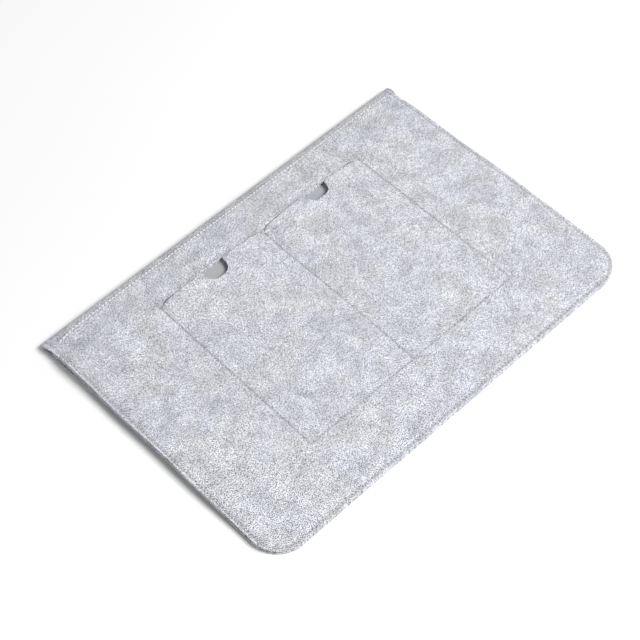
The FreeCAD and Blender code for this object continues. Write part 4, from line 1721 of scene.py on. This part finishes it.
    def hooks(self, side: Side, level: float) -> bpy.types.Object:
        """All hooks of one tape: each a short stem with its tip bent over.

        Args:
            side: which of the two tapes.
            level: the depth at which they stand on the tape.

        Returns:
            The hooks' object.
        """
        bpy.ops.object.select_all(action="DESELECT")
        bpy.ops.mesh.primitive_cube_add(size=1.0)
        stem = bpy.context.object
        stem.scale = (0.22, 0.16, 0.24)
        bpy.ops.object.transform_apply(location=True, rotation=True, scale=True)
        bpy.ops.object.mode_set(mode="EDIT")
        bpy.ops.mesh.select_all(action="DESELECT")
        bpy.ops.object.mode_set(mode="OBJECT")
        for face in stem.data.polygons:
            face.select = face.normal.z > 0.9
        bpy.ops.object.mode_set(mode="EDIT")
        bpy.ops.mesh.extrude_region_move(TRANSFORM_OT_translate={"value": (0.16, 0.0, 0.1)})
        bpy.ops.transform.resize(value=(0.7, 0.8, 1.0))
        bpy.ops.object.mode_set(mode="OBJECT")
        model, faces = take_model(stem)
        model = model + (0.0, 0.0, 0.1)
        across, up = self.hook_size[0] / 2 - 3.2, self.hook_size[1] / 2 - 3.2
        x = np.arange(-across, across, self.hook_pitch) + side.value * self.lie.tape_middle[0]
        y = np.arange(-up, up, self.hook_pitch * 0.8) + self.lie.tape_middle[1]
        points, joined = [], []
        for row, spot_y in enumerate(y):
            for spot_x in x + 0.5 * self.hook_pitch * (row % 2):
                first = len(points) * len(model)
                points.append(model + (spot_x, spot_y, level))
                joined.extend(tuple(first + v for v in face) for face in faces)
        return new_piece("hooks", np.concatenate(points), joined)

    def finish(self, felts: dict[str, bpy.types.Material], cloths: dict[str, bpy.types.Material]) -> None:
        """Args:
            felts: the felt materials by piece.
            cloths: the other materials by use.
        """
        made = self.pieces
        dress(made["felt"], felts["flap"], ["flap_panel"])
        dress(made["lining"], cloths["lining"], ["flap_lining"])
        dress(made["fold_lining"], cloths["lining"], ["fold_lining"])
        dress(made["edge_seam"], cloths["thread"], ["flap_edge_thread"])
        for side in Side:
            label = side.name.lower()
            tape, seam = made[f"hook_{label}"], made[f"hook_{label}_seam"]
            dress(tape, cloths["hook"], [f"hook_tape_{label}"])
            dress(seam, cloths["thread"], [f"hook_thread_{label}"])
        for name, piece in made.items():
            if name not in ("felt", "fold_lining"):
                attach(piece, "flap")
        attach(made["fold_lining"], "fold")
        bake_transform(made["felt"])
        lie = self.lie
        outline = self.outline(0.0, lie.crease)
        (lie.crease - self.free_edge) * MM
        lining = self.outline(lie.lining_inset, lie.lining_end)


# ------------------------------------------------------------------ the studio


@dataclass
class Studio:
    """A pale floor, soft light from the right and in front, and the camera."""

    azimuth: float = 320.54
    elevation: float = 54.10
    roll: float = -4.87
    distance: float = 1.2085
    target: tuple[float, float, float] = (-0.01565, 0.00063, 0.0)
    lens: float = 95.3
    sky: float = 0.37
    key_power: float = 150.0
    key_size: float = 1.7

    def build_floor(self) -> bpy.types.Object:
        """The floor under the sleeve.

        Returns:
            The floor's object.
        """
        bpy.ops.object.select_all(action="DESELECT")
        bpy.ops.mesh.primitive_plane_add(size=8.0, location=(0.0, 0.0, 0.0))
        floor = bpy.context.object
        floor.name = "floor"
        bpy.ops.object.mode_set(mode="EDIT")
        bpy.ops.mesh.select_all(action="SELECT")
        bpy.ops.mesh.subdivide(number_cuts=6)
        bpy.ops.object.mode_set(mode="OBJECT")
        floor.data.materials.append(FloorFinish().build())
        return floor

    def light(self, name: str, place: tuple[float, float, float], size: float, power: float) -> None:
        """One soft light that looks at the sleeve.

        Args:
            name: the light's name.
            place: where it stands, in metres.
            size: its diameter in metres.
            power: its power in watts.
        """
        lamp = bpy.data.lights.new(name, "AREA")
        lamp.shape = "DISK"
        lamp.size = size
        lamp.energy = power
        holder = bpy.data.objects.new(name, lamp)
        holder.location = place
        holder.rotation_euler = (-Vector(place)).to_track_quat("-Z", "Y").to_euler()
        bpy.context.scene.collection.objects.link(holder)

    def build_light(self) -> None:
        """The sky and the soft light."""
        world = bpy.data.worlds.new("studio")
        world.use_nodes = True
        sky = world.node_tree.nodes["Background"]
        sky.inputs["Color"].default_value = (1.0, 1.0, 1.0, 1.0)
        sky.inputs["Strength"].default_value = self.sky
        bpy.context.scene.world = world
        self.light("key", (0.95, -2.00, 2.75), self.key_size, self.key_power)
        bpy.context.scene.view_settings.view_transform = "Standard"

    def build_camera(self) -> None:
        """The camera, with its small roll."""
        turn, rise, roll = (math.radians(a) for a in (self.azimuth, self.elevation, self.roll))
        back = Vector((math.sin(turn) * math.cos(rise), -math.cos(turn) * math.cos(rise), math.sin(rise)))
        level = Vector((math.cos(turn), math.sin(turn), 0.0))
        upright = back.cross(level)
        right = level * math.cos(roll) + upright * math.sin(roll)
        up = back.cross(right)
        lens = bpy.data.cameras.new("camera")
        lens.lens = self.lens
        lens.sensor_width = 36.0
        lens.clip_start, lens.clip_end = 0.01, 50.0
        camera = bpy.data.objects.new("camera", lens)
        axes = Matrix((right, up, back)).transposed().to_4x4()
        camera.matrix_world = Matrix.Translation(Vector(self.target) + back * self.distance) @ axes
        bpy.context.scene.collection.objects.link(camera)
        bpy.context.scene.camera = camera

    def build(self) -> None:
        """Everything that isn't the sleeve."""
        self.build_floor()
        self.build_light()
        self.build_camera()


# ------------------------------------------------------------------ all together


def finishes(body: SewnBody, lie: Lie) -> tuple[dict[str, bpy.types.Material], dict[str, bpy.types.Material]]:
    """The felts and the other materials.

    Args:
        body: the sewn body, for the places of its seams.
        lie: the sleeve's sizes.

    Returns:
        The felts by panel, and the other materials by use.
    """
    left, right = lie.pocket_left, lie.pocket_right
    low, high = lie.pocket_end, body.top_seam_y
    side_top = lie.mouth_y - lie.lip_drop
    reach = body.crease_reach
    rim = (lie.half_width, lie.end, lie.corner)
    inset = lie.seam_inset
    seam = (rim[0] - inset, rim[1] - inset, rim[2] - inset)
    felts = {
        "back": FeltFinish(
            "back_felt_wool",
            rows=(
                Row((left, high), (left, low), 2.9, 1.3, 1.35),
                Row((right, high), (right, low), 2.9, 1.3, 1.35),
                Row((lie.divider_x, side_top), (lie.divider_x, low), 2.9, 1.3, 1.25),
                Row((left, low), (right, low), 2.9, 1.3, 1.25),
                Row((left, high), (right, high), 2.9, 1.2),
                Row((-reach, lie.crease_y + 0.9), (reach, lie.crease_y + 0.9), 3.1, 1.4, 1.1),
                Row((-seam[0], 112.0), (-seam[0], seam[2] - seam[1]), 3.0, 1.2, 1.2),
                Row((seam[0], 112.0), (seam[0], seam[2] - seam[1]), 3.0, 1.2, 0.6),
                Row((seam[2] - seam[0], -seam[1]), (seam[0] - seam[2], -seam[1]), 3.0, 1.2, 1.3),
            ),
            rim=seam,
        ).build(),
        "front": FeltFinish(
            "front_felt_wool",
            rows=(Row((-reach - 5.0, body.hem_y), (reach + 5.0, body.hem_y)),),
            rim=seam,
        ).build(),
        "flap": FeltFinish("flap_felt_wool").build(),
    }
    cloths = {
        "lining": WovenFinish("lining_cloth", (0.36, 0.37, 0.39, 1.0)).build(),
        "backing": WovenFinish("backing_cloth", (0.40, 0.41, 0.43, 1.0)).build(),
        "thread": ThreadFinish("seam_thread", (0.74, 0.74, 0.76, 1.0)).build(),
        # painted highlight: the same thread as seam_thread, made pure white so the crease row's stitches look
        # lit
        "crease_thread": ThreadFinish("crease_thread", (1.0, 1.0, 1.0, 1.0)).build(),
        "loop": LoopFinish("loop_pile", (0.40, 0.40, 0.42, 1.0)).build(),
        "hook": LoopFinish("hook_ground", (0.30, 0.30, 0.32, 1.0), pile=0.4, depth=0.1).build(),
    }
    return felts, cloths


def main() -> None:
    """Builds the sleeve, its finishes and the studio."""
    logging.basicConfig(level=logging.INFO, format="%(name)s: %(message)s")
    lie = Lie()
    body = SewnBody(lie)
    body.build_felts()
    body.build_linings()
    body.build_seams()
    body.build_tapes()
    flap = FlapAndFold(lie)
    flap.build()
    felts, cloths = finishes(body, lie)
    Studio().build()
    body.finish(felts, cloths)
    flap.finish(felts, cloths)


if __name__ == "__main__":
    main()
